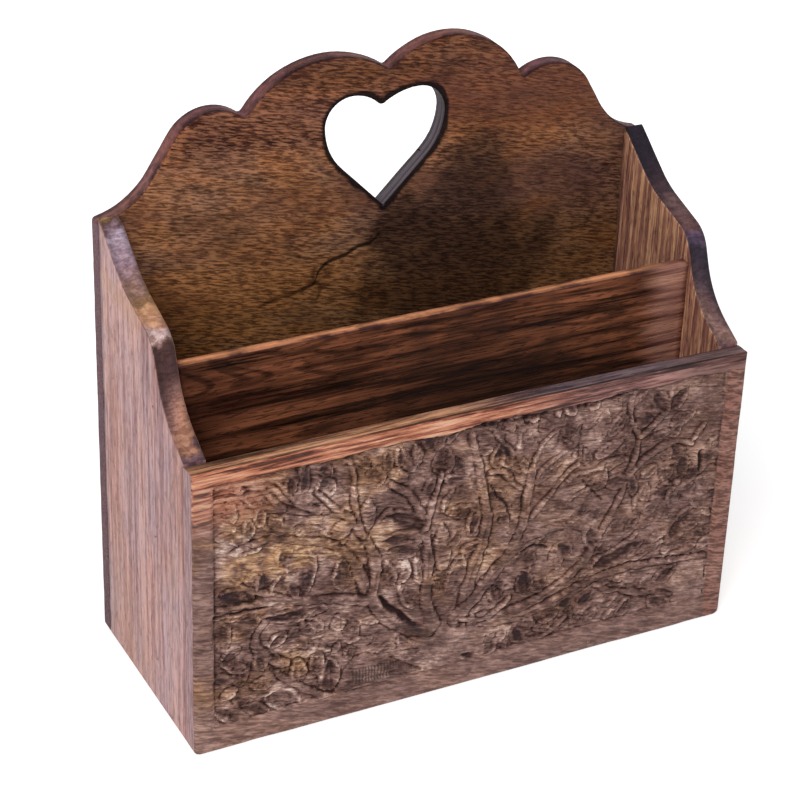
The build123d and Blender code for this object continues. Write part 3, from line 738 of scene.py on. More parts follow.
def face_grid(half, height, crown, corner, step_x, step_z, border):
    """Places on the front's face: columns at each x, rows that are level across the carved field."""
    inner = np.arange(-FIELD_HALF - 1, FIELD_HALF + 1, step_x)
    outer = graded(FIELD_HALF + 1.0, half, border)
    outer = outer[4:] if outer[4] > inner[-1] else outer[5:]
    columns = np.concatenate([-outer[::-1], inner, outer])
    low = np.where(np.abs(columns) > half - corner, np.abs(columns) - half + corner, 0.0)
    low = corner - np.sqrt(corner**2 - low**2)
    top = height - crown * (columns / half) ** 2
    level = np.arange(FOOT_ROWS[-1], FIELD_TOP + 1.0, step_z)
    foot = np.array(FOOT_ROWS[:-1]) / FOOT_ROWS[-1]
    head = 1.0 - np.array(HEAD_ROWS) / (height - level[-1])
    rows = [low[:, None] + (FOOT_ROWS[-1] - low[:, None]) * foot, np.tile(level, (len(columns), 1))]
    rows.append(level[-1] + (top[:, None] - level[-1]) * head[head > 0.01])
    z = np.concatenate(rows, axis=1)
    return np.tile(columns[:, None], (1, z.shape[1])), z, low, top


def carve(x, z):
    """The whole carving over the face's grid: its heights, its painted shade and stains, and its hatching."""
    ground = -sizes().ground_depth / MM + 0.4 * mottle(x, z, 17.0, 3) + 0.42 * mottle(x, z, 5.5, 4)
    ground -= 1.1 * smooth(z, 119.0, 124.0) * smooth(x, -14.0, 0.0) * smooth(66.0 - x, 0.0, 14.0)
    carving = Carving(x, z, ground)
    for plot in RAISED_PLOTS:
        carving.raised_plot(*plot)
    carving.groove(*FIRST_GROOVE)
    for leaf in LEAVES:
        carving.leaf(*leaf)
    for leaf in DARK_LEAVES:
        carving.leaf(*leaf, dark=1.0)
    for pod in LADDERS:
        carving.ladder(*pod)
    carving.mound(MOUND, FIELD_FOOT + 0.6, *MOUND_COMB)
    for start_width, end_width, points in STEMS:
        carving.stem(points, start_width, end_width)
    for hollow in HOLLOWS:
        carving.hollow(*hollow)
    carving.fill_gaps(TREE_ROOT, GAP_TRIES, OPEN_GROUND)
    for rosette in ROSETTES:
        carving.rosette(*rosette)
    for bud in BUDS:
        carving.boss(*bud)
    for groove in GROOVES:
        carving.groove(*groove)
    chatter = 0.17 * mottle(x / 4.0, z, 1.2, 6) + 0.12 * mottle(x / 2.5, z, 1.9, 19)
    nicks = 0.2 * mottle(x, z, 2.1, 20) + 0.16 * mottle(x / 1.4, z, 1.25, 21)
    carving.height += (chatter + nicks) * smooth(-carving.height, 0.1, 0.9)
    return carving


def cut_out_field(carving):
    """Keeps the carving inside its frame line and under the rim band; outside it the face is plain."""
    x, z = carving.x, carving.z
    side = FIELD_HALF + 0.35 * mottle(z, z * 0, 8.0, 7) - np.abs(x)
    foot = z - FIELD_FOOT - 0.3 * mottle(x, x * 0, 9.0, 8)
    wave = 0.9 * mottle(x, x * 0, 17.0, 9) + 0.35 * mottle(x, x * 0, 4.0, 10)
    inside = smooth(side, -0.3, 0.3) * smooth(foot, -0.3, 0.3) * smooth(FIELD_TOP + wave - z, -0.2, 0.5)
    plain = -0.05 - 0.06 * smooth(mottle(x, z, 11.0, 12), -1, 1)
    plain -= 0.05 * smooth(mottle(x, z * 3, 6.0, 13), -1, 1)
    line = np.maximum(np.exp(-(((np.abs(x) - FIELD_HALF - 0.5) / 0.55) ** 2)) * (z > FIELD_FOOT - 1.2),
                      np.exp(-(((z - FIELD_FOOT + 0.5) / 0.5) ** 2)) * (np.abs(x) < FIELD_HALF + 0.9))
    plain = plain - 0.75 * line * (z < FIELD_TOP + 0.4) * smooth(mottle(x * 2, z, 3.0, 14), -1.2, 0.2)
    carving.height = plain + (np.minimum(carving.height, -0.12) - plain) * inside
    carving.stain *= inside
    carving.hatch *= inside
    return inside


def front_mesh():
    """The front: one closed skin of face, rim, back and foot, with the carving in its face."""
    size = sizes()
    half, height = FRONT_HIGH.x / MM, FRONT_HIGH.z / MM
    crown, corner, arris = size.rim_crown / MM, size.corner_radius / MM, size.arris / MM
    face, inner = FRONT_LOW.y / MM, FRONT_HIGH.y / MM
    step = size.carving_step / MM
    x, z, low, top = face_grid(half, height, crown, corner, step * 1.2, step * 0.8, size.border_step / MM)
    carving = carve(x, z)
    inside = cut_out_field(carving)

    edge = np.minimum(half - np.abs(x), top[:, None] - z)
    to_corner = corner - np.hypot(np.maximum(np.abs(x) - half + corner, 0), np.maximum(corner - z, 0))
    edge = np.minimum(edge, np.where(z < corner, np.minimum(to_corner, z), edge))
    edge = np.clip(edge, 0.0, arris)
    recess = arris - np.sqrt(np.maximum(arris**2 - (arris - edge) ** 2, 0))
    wear = 0.25 * smooth(mottle(x, z, 14.0, 15), 0.1, 1.0) * (edge < arris)
    y = face + np.minimum(recess - np.minimum(carving.height, 0) + wear, (inner - face) * 0.6)
    y = np.where(edge < 1e-6, face + arris, y)

    columns = x[:, 0]
    dip = 0.16 * smooth(mottle(columns, columns * 0, 21.0, 17), -0.3, 1.0) + 0.05
    dip *= smooth(half - np.abs(columns), 0.0, 6.0)
    z = z - dip[:, None] * smooth(z, height - 6.0, height - 0.5)
    roof = top - dip
    ring = []
    for place in [face + arris + (inner - face - 2 * arris) * share for share in np.linspace(0, 1, 9)[1:]]:
        worn = 0.1 * smooth(mottle(columns, columns * 0 + place * 3, 6.0, 18), -0.2, 1.0)
        ring.append((place, roof - worn))
    for angle in (22.5, 45, 67.5, 90):
        ring.append((inner - arris + arris * sin(radians(angle)), roof - arris + arris * cos(radians(angle))))
    for share in np.linspace(0, 1, 12)[1:]:
        ring.append((inner, (roof - arris) * (1 - share) + low * share))
    for share in (0.33, 0.67):
        ring.append((inner + (face + arris - inner) * share, low))
    y = np.concatenate([y] + [np.full((len(columns), 1), place) for place, _ in ring], axis=1)
    z = np.concatenate([z] + [heights[:, None] for _, heights in ring], axis=1)
    count, around = y.shape
    places = np.stack([np.tile(columns[:, None], (1, around)), y, z], axis=-1) * MM

    index = np.arange(count * around).reshape(count, around)
    after = np.roll(index, -1, axis=1)
    quads = np.stack([index[:-1], index[1:], after[1:], after[:-1]], axis=-1).reshape(-1, 4)
    mesh = bpy.data.meshes.new("carved_front")
    ends = [index[0].tolist(), index[-1][::-1].tolist()]
    mesh.from_pydata(places.reshape(-1, 3), [], quads.tolist() + ends)
    mesh.shade_smooth()
    for end in (-2, -1):
        mesh.polygons[end].use_smooth = False

    fine = blurred(carving.height, 1) - blurred(carving.height, 5)
    broad = carving.height - blurred(carving.height, 24)
    for name, values in (
        ("low", np.clip(-carving.height / 3.2, 0, 1)),
        ("crest", np.clip(fine / 0.32, -1, 1)),
        ("swell", np.clip(broad / 1.2, -1, 1)),
        ("tone", blurred(carving.tone, 1) * inside),
        ("stain", blurred(carving.stain, 1)),
        ("hatch", carving.hatch),
        ("field", inside),
    ):
        mark(mesh, name, np.pad(values, ((0, 0), (0, len(ring)))).ravel())
    mesh.update()
    return mesh


def rim_colour(finish, x, y, z):
    """The front's rim: red at the left, mauve at the right, with gilt on its roof and a painted slate-violet
    reflection on the roof's right part.
    """
    along_rim = finish.noise((18, 420, 520), 4, 0.66, 0.3, 21, True)
    flecks = finish.noise((80, 700, 800), 3, 0.65, 0.3, 22, True)
    rich = x.between(-0.090, -0.055) * x.between(0.005, -0.022)
    stroke = (along_rim + (flecks - 0.5) * 0.5).between(0.33, 0.67) + (rich - 0.4) * 0.12
    red = stroke.ramp(
        (0.0, (0.06, 0.015, 0.009)), (0.16, (0.23, 0.064, 0.036)), (0.42, colours().rim_red),
        (0.7, (0.67, 0.280, 0.160)), (1.0, (0.85, 0.48, 0.32))
    )
    mauve = stroke.ramp(
        (0.0, (0.030, 0.012, 0.013)), (0.25, (0.125, 0.050, 0.046)), (0.6, (0.29, 0.125, 0.110)),
        (1.0, (0.50, 0.28, 0.245))
    )
    rim = red.mixed(x.between(0, 0.058), mauve).darker(x.between(0.084, 0.106), 0.42)
    roof = y.between(-0.0512, -0.0502) * z.between(0.130, 0.131)
    rim = rim.mixed(roof * 0.85, finish.mix(stroke, (0.100, 0.036, 0.018), (0.80, 0.41, 0.225)))
    # Painted shade along the roof's inner edge over the slot, strongest at the left.
    inner = y.between(-0.0490, -0.0440) * x.between(-0.050, -0.085, 0.35, 1)
    rim = rim.darker(inner * roof, 0.78)
    # Painted reflection: a slate-violet sheen on the roof, from the middle to the right end.
    near_reflection = finish.mix(stroke, (0.030, 0.021, 0.032), (0.185, 0.142, 0.178))
    far_reflection = finish.mix(stroke, (0.035, 0.020, 0.025), (0.20, 0.120, 0.135))
    painted_reflection = near_reflection.mixed(x.between(0.085, 0.105), far_reflection)
    return rim.mixed(roof * x.between(-0.022, 0.038, 0, 0.9), painted_reflection)


def carved_finish():
    """The carved front's wood: tan where tools and hands have rubbed it, with painted highlights on its
    ridges, near black in the cuts with painted shade.
    """
    tint = colours()
    finish = new_finish("carved_wood", -13.0)
    marks = grain(finish, "X", 0.0)
    names = ("low", "crest", "swell", "tone", "stain", "field", "hatch")
    low, crest, swell, tone, stain, field, hatch = map(finish.attribute, names)
    x, y, z = finish.axes()
    in_field = field.between(0.2, 0.9)

    patches = finish.noise((22, 22, 32), 3, 0.6, 0, 4).between(0.36, 0.64)
    blotches = finish.noise((90, 90, 130), 3, 0.62, 0.3, 6).between(0.36, 0.64)
    chatter = finish.noise((200, 200, 880), 2, 0.6, 0.2, 11).between(0.38, 0.62)
    chips = finish.noise((430, 430, 620), 3, 0.65, 0.5, 17).between(0.38, 0.62)
    plain = (
        x.between(0.11, -0.11, 0.475, 0.525) + (marks.figure - 0.5) * 0.08 + (marks.streaks - 0.5) * 0.12
        + (marks.threads - 0.5) * 0.1 + (patches - 0.5) * 0.14 + (chatter - 0.5) * 0.22
    )
    # Ridges lighter (rubbed wear and painted highlight); cuts, low ground and the dark layer darker (painted
    # shade).
    worked = (
        (patches - 0.5) * 0.12 + (blotches - 0.5) * 0.32 + (chatter - 0.5) * 0.19 + (chips - 0.5) * 0.08
        + (crest.between(0, 1) - 0.1) * 0.10 - (crest.between(0, -0.8) - 0.1) * 0.30
        + swell * 0.18 + (tone + 0.25) * 0.25 - stain * 0.28 - (low - 0.45) * 0.03
    )
    worked = worked * x.between(0.09, -0.09, 0.88, 1.12) + x.between(0.11, -0.11, 0.475, 0.53)
    value = (worked - plain) * in_field + plain
    dusky = value.ramp(
        (0.0, (0.032, 0.012, 0.010)), (0.22, (0.090, 0.041, 0.036)), (0.46, tint.carved_dusky),
        (0.68, (0.37, 0.22, 0.189)), (0.86, (0.63, 0.42, 0.355)), (1.0, (0.92, 0.71, 0.62))
    )
    warm = value.ramp(
        (0.0, (0.034, 0.012, 0.005)), (0.22, (0.098, 0.044, 0.022)), (0.46, tint.carved_warm),
        (0.68, (0.47, 0.25, 0.135)), (0.86, (0.76, 0.47, 0.29)), (1.0, (0.95, 0.72, 0.53))
    )
    hue = finish.noise((34, 34, 50), 3, 0.6, 0.2, 31).between(0.42, 0.66)
    base = dusky.mixed(hue * x.between(0.11, -0.08, 0.25, 0.8) * z.between(0.018, 0.030, 0.25, 1), warm)
    tanned = (
        x.between(-0.068, -0.080) * x.between(-0.118, -0.108) * z.between(0.094, 0.088)
        * z.between(0.075, 0.082) * blotches.between(0.1, 0.7, 0.1, 0.65)
    )
    base = base.mixed(tanned, finish.mix(chatter, (0.34, 0.15, 0.055), (0.80, 0.46, 0.20)))
    ruddy = x.between(0.1175, 0.1190) * value.between(0.2, 0.8, 0.75, 0.5)
    base = base.mixed(ruddy, finish.mix(chatter, (0.115, 0.042, 0.030), (0.40, 0.175, 0.13)))
    # Painted shade and stain in the cuts, hollows and leaf tips, near black.
    base = base.mixed(stain * (chips + blotches).between(0.2, 1.6, 0.6, 0.05), (0.044, 0.030, 0.036))

    ticks = x * 4300 + (patches - 0.5) * 9 + (chips - 0.5) * 1.2
    comb = hatch * finish.math("SINE", ticks).between(0, 0.8) * blotches.between(0.1, 0.6, 0.25, 1)
    scores = finish.noise((130, 130, 1250), 2, 0.5, 0.3, 13).between(0.55, 0.64)
    base = base.darker(comb, 0.55).darker(scores * in_field, 0.42).darker(marks.pores, 0.3)

    corner = z.between(0.100, 0.118) * x.between(-0.080, -0.110)
    band = z.between(0.1255, 0.1268) * field.between(0.6, 0.1)
    band = finish.math("MAXIMUM", band * 0.92, corner * 0.72)
    base = base.mixed(band, rim_colour(finish, x, y, z))
    # Painted shade: a dark line along the face's rounded top arris, left out at the far left.
    arris_shade = (
        y.between(-0.0497, -0.0501) * y.between(-0.05125, -0.0509) * z.between(0.1300, 0.1308)
        * x.between(-0.115, -0.104) * finish.noise((30, 30, 30), 2, 0.5, 0, 14).between(0.35, 0.6, 0.45, 1)
    )
    base = base.darker(arris_shade, 0.85)
    upright = finish.noise((300, 700, 90), 3, 0.65, 0.3, 24, True).between(0.36, 0.64)
    ends = finish.mix(upright, (0.26, 0.138, 0.148), (0.50, 0.31, 0.31))
    base = base.mixed(abs(x).between(0.12685, 0.12695), ends)

    relief = chatter * low.between(0.08, 0.5, 0.3, 1) - comb * 1.2 + chips * in_field * 0.9
    normal = finish.bump(relief, 0.00035, 0.8)
    normal = finish.bump(marks.threads * 0.4 - marks.pores, 0.0002, 0.8, normal)
    return finish.close(base, low.between(0.05, 0.5, 0.48, 0.78), normal, 0.18)


class LETTERBOX_OT_carved_front(bpy.types.Operator):
    """Make the front board with its carved tree"""

    bl_idname = "letter_box.carved_front"
    bl_label = "Carved front"

    def execute(self, context):
        seat(add("carved_front", front_mesh()), carved_finish(), "front_panel")
        return {"FINISHED"}


# ---- The plain boards ----

# The back's dark vein and its branch, as curves from 0 to 1.
VEIN = ((0.0, 0.08), (0.14, 0.19), (0.29, 0.23), (0.38, 0.27), (0.415, 0.30), (0.44, 0.43), (0.50, 0.54),
        (0.62, 0.60), (0.70, 0.68), (0.80, 0.71), (0.85, 0.80), (1.0, 0.93))
BRANCH = ((0.0, 0.45), (0.12, 0.55), (0.30, 0.85), (0.48, 0.92), (0.66, 0.66), (0.82, 0.32), (1.0, 0.14))

# Dark patches of the back's inner face, in millimetres: centre, reach and strength. The first three are
# painted shadow, right of the vein and by the heart's tip.
SHADOW_AND_DARK_WOOD = (
    ((36, 42, 146), (48, 8, 32), 0.95),
    ((11, 42, 171), (22, 8, 16), 0.9),
    ((42, 42, 186), (20, 8, 24), 0.6),
    ((-70, 42, 182), (10, 8, 5), 0.3),
    ((-29, 42, 158), (5, 8, 6), 0.35),
    ((-10, 42, 250), (60, 8, 13), 0.3),
)


def back_finish():
    """The back's wood: brown with short pores, a forked dark vein by the heart, dark patches partly of
    painted shadow, and painted shade round the heart.
    """
    tint = colours()
    finish, marks, share, base = board_finish(
        "back_wood", "X", tint.back_light, tint.back_dark, (0.13, 0.050, 0.034), tint.dusk, shift=0.0,
        pores=0.40, zone_share=0.7, lines=0.22, stretch=0.75, breadth=1.3, threads=0.74, fine=1.45, tilt=-12.0
    )
    x, _, z = finish.axes()
    olive = finish.mix(share, (0.026, 0.008, 0.002), (0.275, 0.128, 0.038))
    base = base.mixed(z.between(0.19, 0.135) * 0.6, olive)
    base = base.mixed(z.between(0.195, 0.235), base.tinted((1.0, 0.84, 0.80)))
    cast = finish.noise((13, 13, 34), 3, 0.6, 0.6, 4).ramp(
        (0.36, (0.62, 0.64, 0.79)), (0.48, (0.84, 0.85, 0.88)), (0.62, (1.06, 0.95, 0.75))
    )
    # Dark wood and painted shadow, where the dark spots lie.
    shadow_and_dark_wood = finish.mix(share, (0.007, 0.002, 0.001), (0.070, 0.030, 0.018))
    base = base.tinted(cast).mixed(finish.attribute("dark_spot") * 0.8, shadow_and_dark_wood)

    wander = finish.noise((160, 160, 160), 3, 0.6) * 0.0024
    height = x.between(-0.060, 0.008, kind="LINEAR").curve(VEIN) * 0.035 + 0.1438
    vein = (
        abs(z + wander - height).between(0.0016, 0.0004) * x.between(-0.062, -0.054)
        * x.between(-0.040, -0.026, 0.7, 1) * x.between(0.009, -0.008)
    )
    lean = z.between(0.143, 0.158, kind="LINEAR").curve(BRANCH) * 0.005 - 0.0322
    branch = (
        abs(x + wander - lean).between(0.0014, 0.0003) * z.between(0.142, 0.147)
        * z.between(0.160, 0.157, 0, 0.6)
    )
    base = base.darker(finish.math("MAXIMUM", vein, branch), 0.86)

    # Painted shade: a near-black band round the heart's edge.
    base = base.mixed(finish.attribute("heart_shade").between(0.1, 0.9) * 0.96, (0.004, 0.002, 0.003))
    ends = finish.mix(share, (0.090, 0.040, 0.060), (0.19, 0.105, 0.138))
    base = base.mixed(abs(x).between(0.1264, 0.1269) * 0.75, ends)
    plies = finish.noise((20, 1100, 20), 2, 0.6, 0, 0, True).between(0.4, 0.6)
    wall = finish.mix(plies, (0.075, 0.060, 0.070), (0.160, 0.135, 0.152))
    base = base.mixed(finish.attribute("heart_wall").between(0.6, 0.9), wall)
    return close_board(finish, marks, share, base, 0.45, 0.07)


class LETTERBOX_OT_scalloped_back(bpy.types.Operator):
    """Make the tall back with its scalloped top and heart"""

    bl_idname = "letter_box.scalloped_back"
    bl_label = "Scalloped back"

    def execute(self, context):
        finer = ((0, -0.033, 0.033, 0.0015), (2, 0.176, 0.246, 0.0015))
        back = sliced_board("back_panel", 1, 0.15 * MM, 51, SHADOW_AND_DARK_WOOD, finer)
        places, facing = vertices(back.data) / MM, normals(back.data)
        near_heart = (np.abs(places[:, 0]) < 30) & (places[:, 2] > 181) & (places[:, 2] < 242)
        wall = near_heart & (np.abs(facing[:, 1]) < 0.8)
        outline = KDTree(int(wall.sum()))
        for number, place in enumerate(places[wall] * (1, 0, 1)):
            outline.insert(place, number)
        outline.balance()
        gap = np.array([outline.find(place)[2] if near else 9.0
                        for near, place in zip(near_heart, places * (1, 0, 1))])
        # Painted shade round the heart, about 3 mm wide and uneven.
        reach = 3.0 + 0.8 * mottle(places[:, 0], places[:, 2], 5.0, 52)
        mark(back.data, "heart_shade", smooth(reach - gap, 0.0, 1.8))
        mark(back.data, "heart_wall", near_heart & (np.abs(facing[:, 1]) < 0.5))
        seat(back, back_finish(), "back_panel")
        return {"FINISHED"}


# The top edges of the sides, by level: a share of the way up from EDGE_FOOT to EDGE_TOP, and a colour.
# Besides worn wood, the stops hold a painted highlight on the nose's crest (0.565 on the left, 0.54 on the
# right), painted shade below the nose, and a painted bluish sheen on the mauve-grey higher up on the left.
EDGE_FOOT, EDGE_TOP = 0.130, 0.205
EDGE_MIDDLE = 0.1225  # the middle of a side's thickness, from the box's middle
LEFT_EDGE = (
    (0.05, (0.13, 0.075, 0.095)), (0.075, (0.20, 0.11, 0.12)), (0.10, (0.48, 0.24, 0.16)),
    (0.15, (0.58, 0.285, 0.19)), (0.22, (0.42, 0.21, 0.17)), (0.30, (0.19, 0.095, 0.085)),
    (0.37, (0.085, 0.038, 0.039)), (0.50, (0.080, 0.035, 0.032)), (0.53, (0.090, 0.042, 0.038)),
    (0.55, (0.42, 0.26, 0.23)), (0.565, (0.78, 0.59, 0.58)), (0.59, (0.74, 0.41, 0.29)),
    (0.63, (0.80, 0.43, 0.25)), (0.65, (0.24, 0.14, 0.085)), (0.70, (0.42, 0.245, 0.20)),
    (0.77, (0.42, 0.275, 0.33)), (0.845, (0.58, 0.46, 0.57)), (0.885, (0.27, 0.17, 0.21)),
    (0.92, (0.16, 0.085, 0.060)), (0.955, (0.46, 0.28, 0.125)),
)
RIGHT_EDGE = (
    (0.06, (0.17, 0.10, 0.10)), (0.095, (0.42, 0.24, 0.20)), (0.13, (0.24, 0.14, 0.13)),
    (0.20, (0.18, 0.10, 0.105)), (0.28, (0.075, 0.044, 0.058)), (0.43, (0.027, 0.015, 0.030)),
    (0.50, (0.028, 0.018, 0.036)), (0.54, (0.13, 0.083, 0.145)), (0.59, (0.18, 0.084, 0.088)),
    (0.64, (0.19, 0.097, 0.098)), (0.70, (0.055, 0.028, 0.040)), (0.80, (0.017, 0.009, 0.021)),
)


def side_finish(name, shift, edge_colours):
    """A side's wood: pinkish brown outside, orange brown inside, with an oiled top edge that changes and
    carries painted highlight and shade.
    """
    tint = colours()
    finish, marks, share, base = board_finish(
        name, "Z", tint.side_light, tint.side_dark, (0.46, 0.25, 0.19), (0.20, 0.10, 0.115), shift=shift,
        pores=0.12, zone_share=0.4, lines=0.10, stretch=2.2, breadth=0.75, threads=0.22
    )
    x, y, z = finish.axes()
    mottling = finish.noise((330, 330, 170), 3, 0.65, 0.4, shift + 3)
    cast = finish.noise((75, 75, 20), 3, 0.6, 0.5, shift + 4).ramp(
        (0.36, (1.13, 1.03, 0.92)), (0.50, (1.05, 1.04, 1.03)), (0.64, (0.96, 1.02, 1.12))
    )
    # Inner faces: orange brown wood, painted lighter to stand in for light reaching inside the box.
    brown = (share + (mottling - 0.5) * 0.5).ramp(
        (0.0, (0.15, 0.060, 0.050)), (0.35, (0.30, 0.135, 0.098)), (0.65, (0.46, 0.225, 0.145)),
        (1.0, (0.74, 0.42, 0.235))
    )
    base = base.darker(mottling.between(0.50, 0.66), 0.27).tinted(cast)
    base = base.mixed(finish.attribute("inward").between(0.3, 0.7), brown.darker(marks.pores, 0.4))

    outward = (abs(x) - EDGE_MIDDLE) * (z.between(0.170, 0.160) * z.between(0.136, 0.146, 0.1, 1.5))
    wander = finish.noise((170, 170, 120), 3, 0.62, 0, shift + 1) - 0.5
    level = z + outward + wander * 0.012
    along_edge = level.between(EDGE_FOOT, EDGE_TOP, kind="LINEAR").ramp(*edge_colours)
    ends = finish.noise((260, 330, 760), 3, 0.6, 0.4, shift + 7).between(0.37, 0.63)
    along_edge = along_edge.mixed(ends * 0.6, along_edge.tinted((0.28, 0.18, 0.17)))
    top = finish.attribute("turned").between(0.12, 0.4) * finish.attribute("skyward").between(0.1, 0.35)
    base = base.mixed(top, along_edge).darker(finish.attribute("crease") * top, 0.35)
    spill = (
        level.between(0.168, 0.174) * level.between(0.182, 0.178) * y.between(-0.008, 0.006)
        * x.between(0, -0.1)
    )
    return close_board(finish, marks, share, base.mixed(spill * 0.35, (0.52, 0.27, 0.12)), 0.34)


class LETTERBOX_OT_sides(bpy.types.Operator):
    """Make the two sides with their S-shaped top edges"""

    bl_idname = "letter_box.sides"
    bl_label = "Sides"

    def execute(self, context):
        sides = (("left_side_panel", 1.0, LEFT_EDGE), ("right_side_panel", -1.0, RIGHT_EDGE))
        for number, (node, inward, edge_colours) in enumerate(sides):
            side = sliced_board(node, 0, 0.25 * MM, 61 + number)
            mark(side.data, "inward", smooth(normals(side.data)[:, 0] * inward, 0.5, 0.95))
            name = node.removesuffix("_panel") + "_wood"
            seat(side, side_finish(name, 2.0 * number, edge_colours), node)
        return {"FINISHED"}


class LETTERBOX_OT_inner_boards(bpy.types.Operator):
    """Make the divider between the two slots, and the bottom"""

    bl_idname = "letter_box.inner_boards"
    bl_label = "Divider and bottom"

    def execute(self, context):
        tint = colours()
        for node, face_axis, shift in (("divider_panel", 1, 5.0), ("bottom_panel", 2, 8.0)):
            # A broad dark patch across the divider's middle: painted shadow.
            dark = (((15, 0, 90), (90, 60, 70), 0.8),)
            board = sliced_board(node, face_axis, 0.3 * MM, 71 + face_axis, dark)
            finish, marks, share, base = board_finish(
                node.removesuffix("_panel") + "_wood", "X", tint.divider_light, tint.divider_dark,
                (0.030, 0.007, 0.004), tint.rim_wood, shift=shift, pores=0.5, zone_share=0.7, lines=0.6,
                stretch=5.0, breadth=1.4, threads=0.30
            )
            sapwood = share.ramp(
                (0.1, (0.15, 0.062, 0.052)), (0.5, (0.27, 0.120, 0.092)), (0.9, (0.46, 0.23, 0.16))
            )
            ragged = finish.axes()[0] + (marks.streaks - 0.5) * 0.006
            base = base.mixed(ragged.between(0.094, 0.110), sapwood)
            seat(board, close_board(finish, marks, share, base, 0.45, 0.06), node)
        return {"FINISHED"}


class LETTERBOX_OT_pins(bpy.types.Operator):
    """Finish the steel pins and the plugs of filler over them"""

    bl_idname = "letter_box.pins"
    bl_label = "Pins and fillers"

    def execute(self, context):
        steel = new_finish("pin_steel")
        tarnish = steel.noise((900, 900, 900), 3)
        base = steel.mix(tarnish.between(0.4, 0.7), (0.42, 0.41, 0.39), (0.14, 0.10, 0.08))
        steel.close(base, tarnish.between(0.3, 0.7, 0.3, 0.55), steel.bump(tarnish, 0.00005), metallic=1.0)

        tint = colours()
        filler = new_finish("wood_filler")
        x, y, z = filler.axes()
        base = filler.mix(y.between(0, 0.01), (0.30, 0.165, 0.125), tint.back_dark)
        base = base.mixed(abs(x).between(0.1262, 0.1266), scaled(tint.side_light, 0.85))
        base = base.mixed(z.between(0.0003, 0.0001), tint.divider_light)
        specks = filler.noise((1500, 1500, 1500), 3)
        base = base.darker(specks.between(0.45, 0.65), 0.5)
        filler.close(base, 0.6, filler.bump(specks, 0.00008))

        for name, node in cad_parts.items():
            if name.endswith(("_pins", "_fillers")):
                for slot in node.material_slots:
                    slot.material = steel.owner if name.endswith("_pins") else filler.owner
        return {"FINISHED"}


# ---- The stage ----

def seen_directly(finish):
    """1 on rays that come straight from the camera, off gloss or through glass, otherwise 0."""
    rays = finish.node("ShaderNodeLightPath", {}).outputs
    seen = finish.math("MAXIMUM", rays["Is Camera Ray"], rays["Is Glossy Ray"])
    return finish.math("MAXIMUM", seen, rays["Is Transmission Ray"])


def aimed(place, target):
    """A place, turned so that it looks at a target."""
    turn = (Vector(target) - Vector(place)).to_track_quat("-Z", "Y").to_matrix().to_4x4()
    return Matrix.Translation(place) @ turn


# The lamps: name, place, size, power and colour. They and the camera are in metres.
LAMPS = (
    ("key_lamp", (-1.1, -1.0, 1.5), 0.9, 25.0, (1.0, 0.975, 0.96)),
    ("fill_lamp", (1.3, -1.5, 0.8), 1.4, 7.0, (0.95, 0.97, 1.0)),
)
LAMP_AIM = (0.0, 0.0, 0.11)
CAMERA_PLACE = (-0.42623, -0.78708, 0.61186)
CAMERA_AIM = (-0.011415, 0.0, 0.114356)
CAMERA_ROLL = 2.137
CAMERA_LENS = 109.264
CAMERA_SENSOR = 36.0
FLOOR_HALF = 3.0
FLOOR_DROP = 0.2 * MM
FLOOR_GLOW = (0.56, 0.85)  # how brightly the floor shows, under the box and away from it
WORLD_LIGHT = 0.336  # the background's light on the box; it shows as 1, plain white


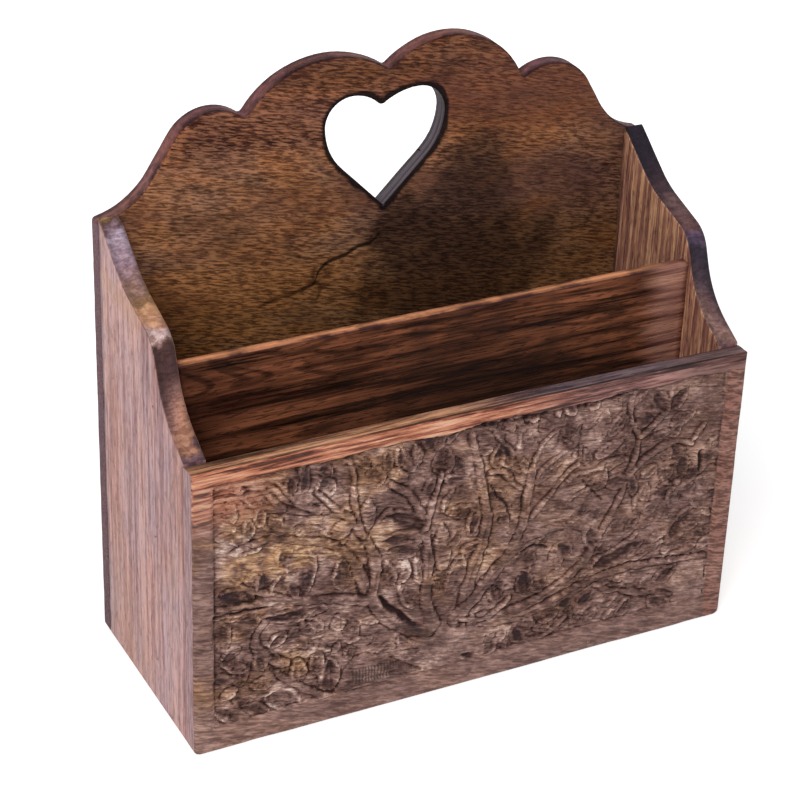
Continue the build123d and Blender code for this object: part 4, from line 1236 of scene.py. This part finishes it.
class LETTERBOX_OT_stage(bpy.types.Operator):
    """Set up the pale floor, the white background, the soft lamps and the camera"""

    bl_idname = "letter_box.stage"
    bl_label = "Stage"

    def execute(self, context):
        scene = context.scene
        scene.view_settings.view_transform = "Standard"

        grid = bmesh.new()
        bmesh.ops.create_grid(grid, x_segments=24, y_segments=24, size=FLOOR_HALF)
        mesh = bpy.data.meshes.new("floor")
        grid.to_mesh(mesh)
        grid.free()
        floor = add("floor", mesh)
        floor.location.z = -FLOOR_DROP
        pale = new_finish("pale_floor")
        paper = pale.noise((9, 9, 9), 2).between(0, 1, 0.97, 1)
        base = pale.mix(1.0, colours().floor, paper, "MULTIPLY")
        matt = pale.value(0, "ShaderNodeBsdfDiffuse", {"Color": base})
        x, y, _ = pale.axes()
        bright = (abs(x) + abs(y)).between(0.15, 0.9, *FLOOR_GLOW)
        glow = pale.value(0, "ShaderNodeEmission", {"Color": WHITE, "Strength": bright})
        both = pale.value(0, "ShaderNodeAddShader", {0: matt, 1: glow})
        mixed = pale.value(0, "ShaderNodeMixShader", {0: seen_directly(pale), 1: matt, 2: both})
        pale.node("ShaderNodeOutputMaterial", {"Surface": mixed})
        mesh.materials.append(pale.owner)

        scene.world = bpy.data.worlds.new("studio")
        studio = Finish(scene.world)
        strength = seen_directly(studio).between(0, 1, WORLD_LIGHT, 1, "LINEAR")
        background = studio.value(0, "ShaderNodeBackground", {"Color": WHITE, "Strength": strength})
        studio.node("ShaderNodeOutputWorld", {"Surface": background})

        for name, place, size, power, warmth in LAMPS:
            light = bpy.data.lights.new(name, "AREA")
            light.size, light.energy, light.color = size, power, warmth
            add(name, light).matrix_world = aimed(place, LAMP_AIM)
        lens = bpy.data.cameras.new("camera")
        lens.lens, lens.sensor_width = CAMERA_LENS, CAMERA_SENSOR
        scene.camera = add("camera", lens)
        roll = Matrix.Rotation(radians(CAMERA_ROLL), 4, "Z")
        scene.camera.matrix_world = aimed(CAMERA_PLACE, CAMERA_AIM) @ roll
        return {"FINISHED"}


class LETTERBOX_PT_panel(bpy.types.Panel):
    """The letter box's pieces, one button for each"""

    bl_idname = "LETTERBOX_PT_panel"
    bl_label = "Desk letter box"
    bl_space_type = "VIEW_3D"
    bl_region_type = "UI"
    bl_category = "Letter box"

    def draw(self, context):
        for maker in MAKERS:
            self.layout.operator(maker.bl_idname)
        for group in (context.scene.letter_box_sizes, context.scene.letter_box_colours):
            box = self.layout.box()
            for name in group.__annotations__:
                box.prop(group, name)


MAKERS = (
    LETTERBOX_OT_carved_front,
    LETTERBOX_OT_scalloped_back,
    LETTERBOX_OT_sides,
    LETTERBOX_OT_inner_boards,
    LETTERBOX_OT_pins,
    LETTERBOX_OT_stage,
)
CLASSES = (LetterBoxSizes, LetterBoxColours, *MAKERS, LETTERBOX_PT_panel)


def register():
    for cls in CLASSES:
        bpy.utils.register_class(cls)
    bpy.types.Scene.letter_box_sizes = PointerProperty(type=LetterBoxSizes)
    bpy.types.Scene.letter_box_colours = PointerProperty(type=LetterBoxColours)


def unregister():
    del bpy.types.Scene.letter_box_colours
    del bpy.types.Scene.letter_box_sizes
    for cls in reversed(CLASSES):
        bpy.utils.unregister_class(cls)


def main():
    """Makes every piece in order."""
    register()
    bpy.ops.letter_box.stage()
    bpy.ops.letter_box.carved_front()
    bpy.ops.letter_box.scalloped_back()
    bpy.ops.letter_box.sides()
    bpy.ops.letter_box.inner_boards()
    bpy.ops.letter_box.pins()


if __name__ == "__main__":
    main()
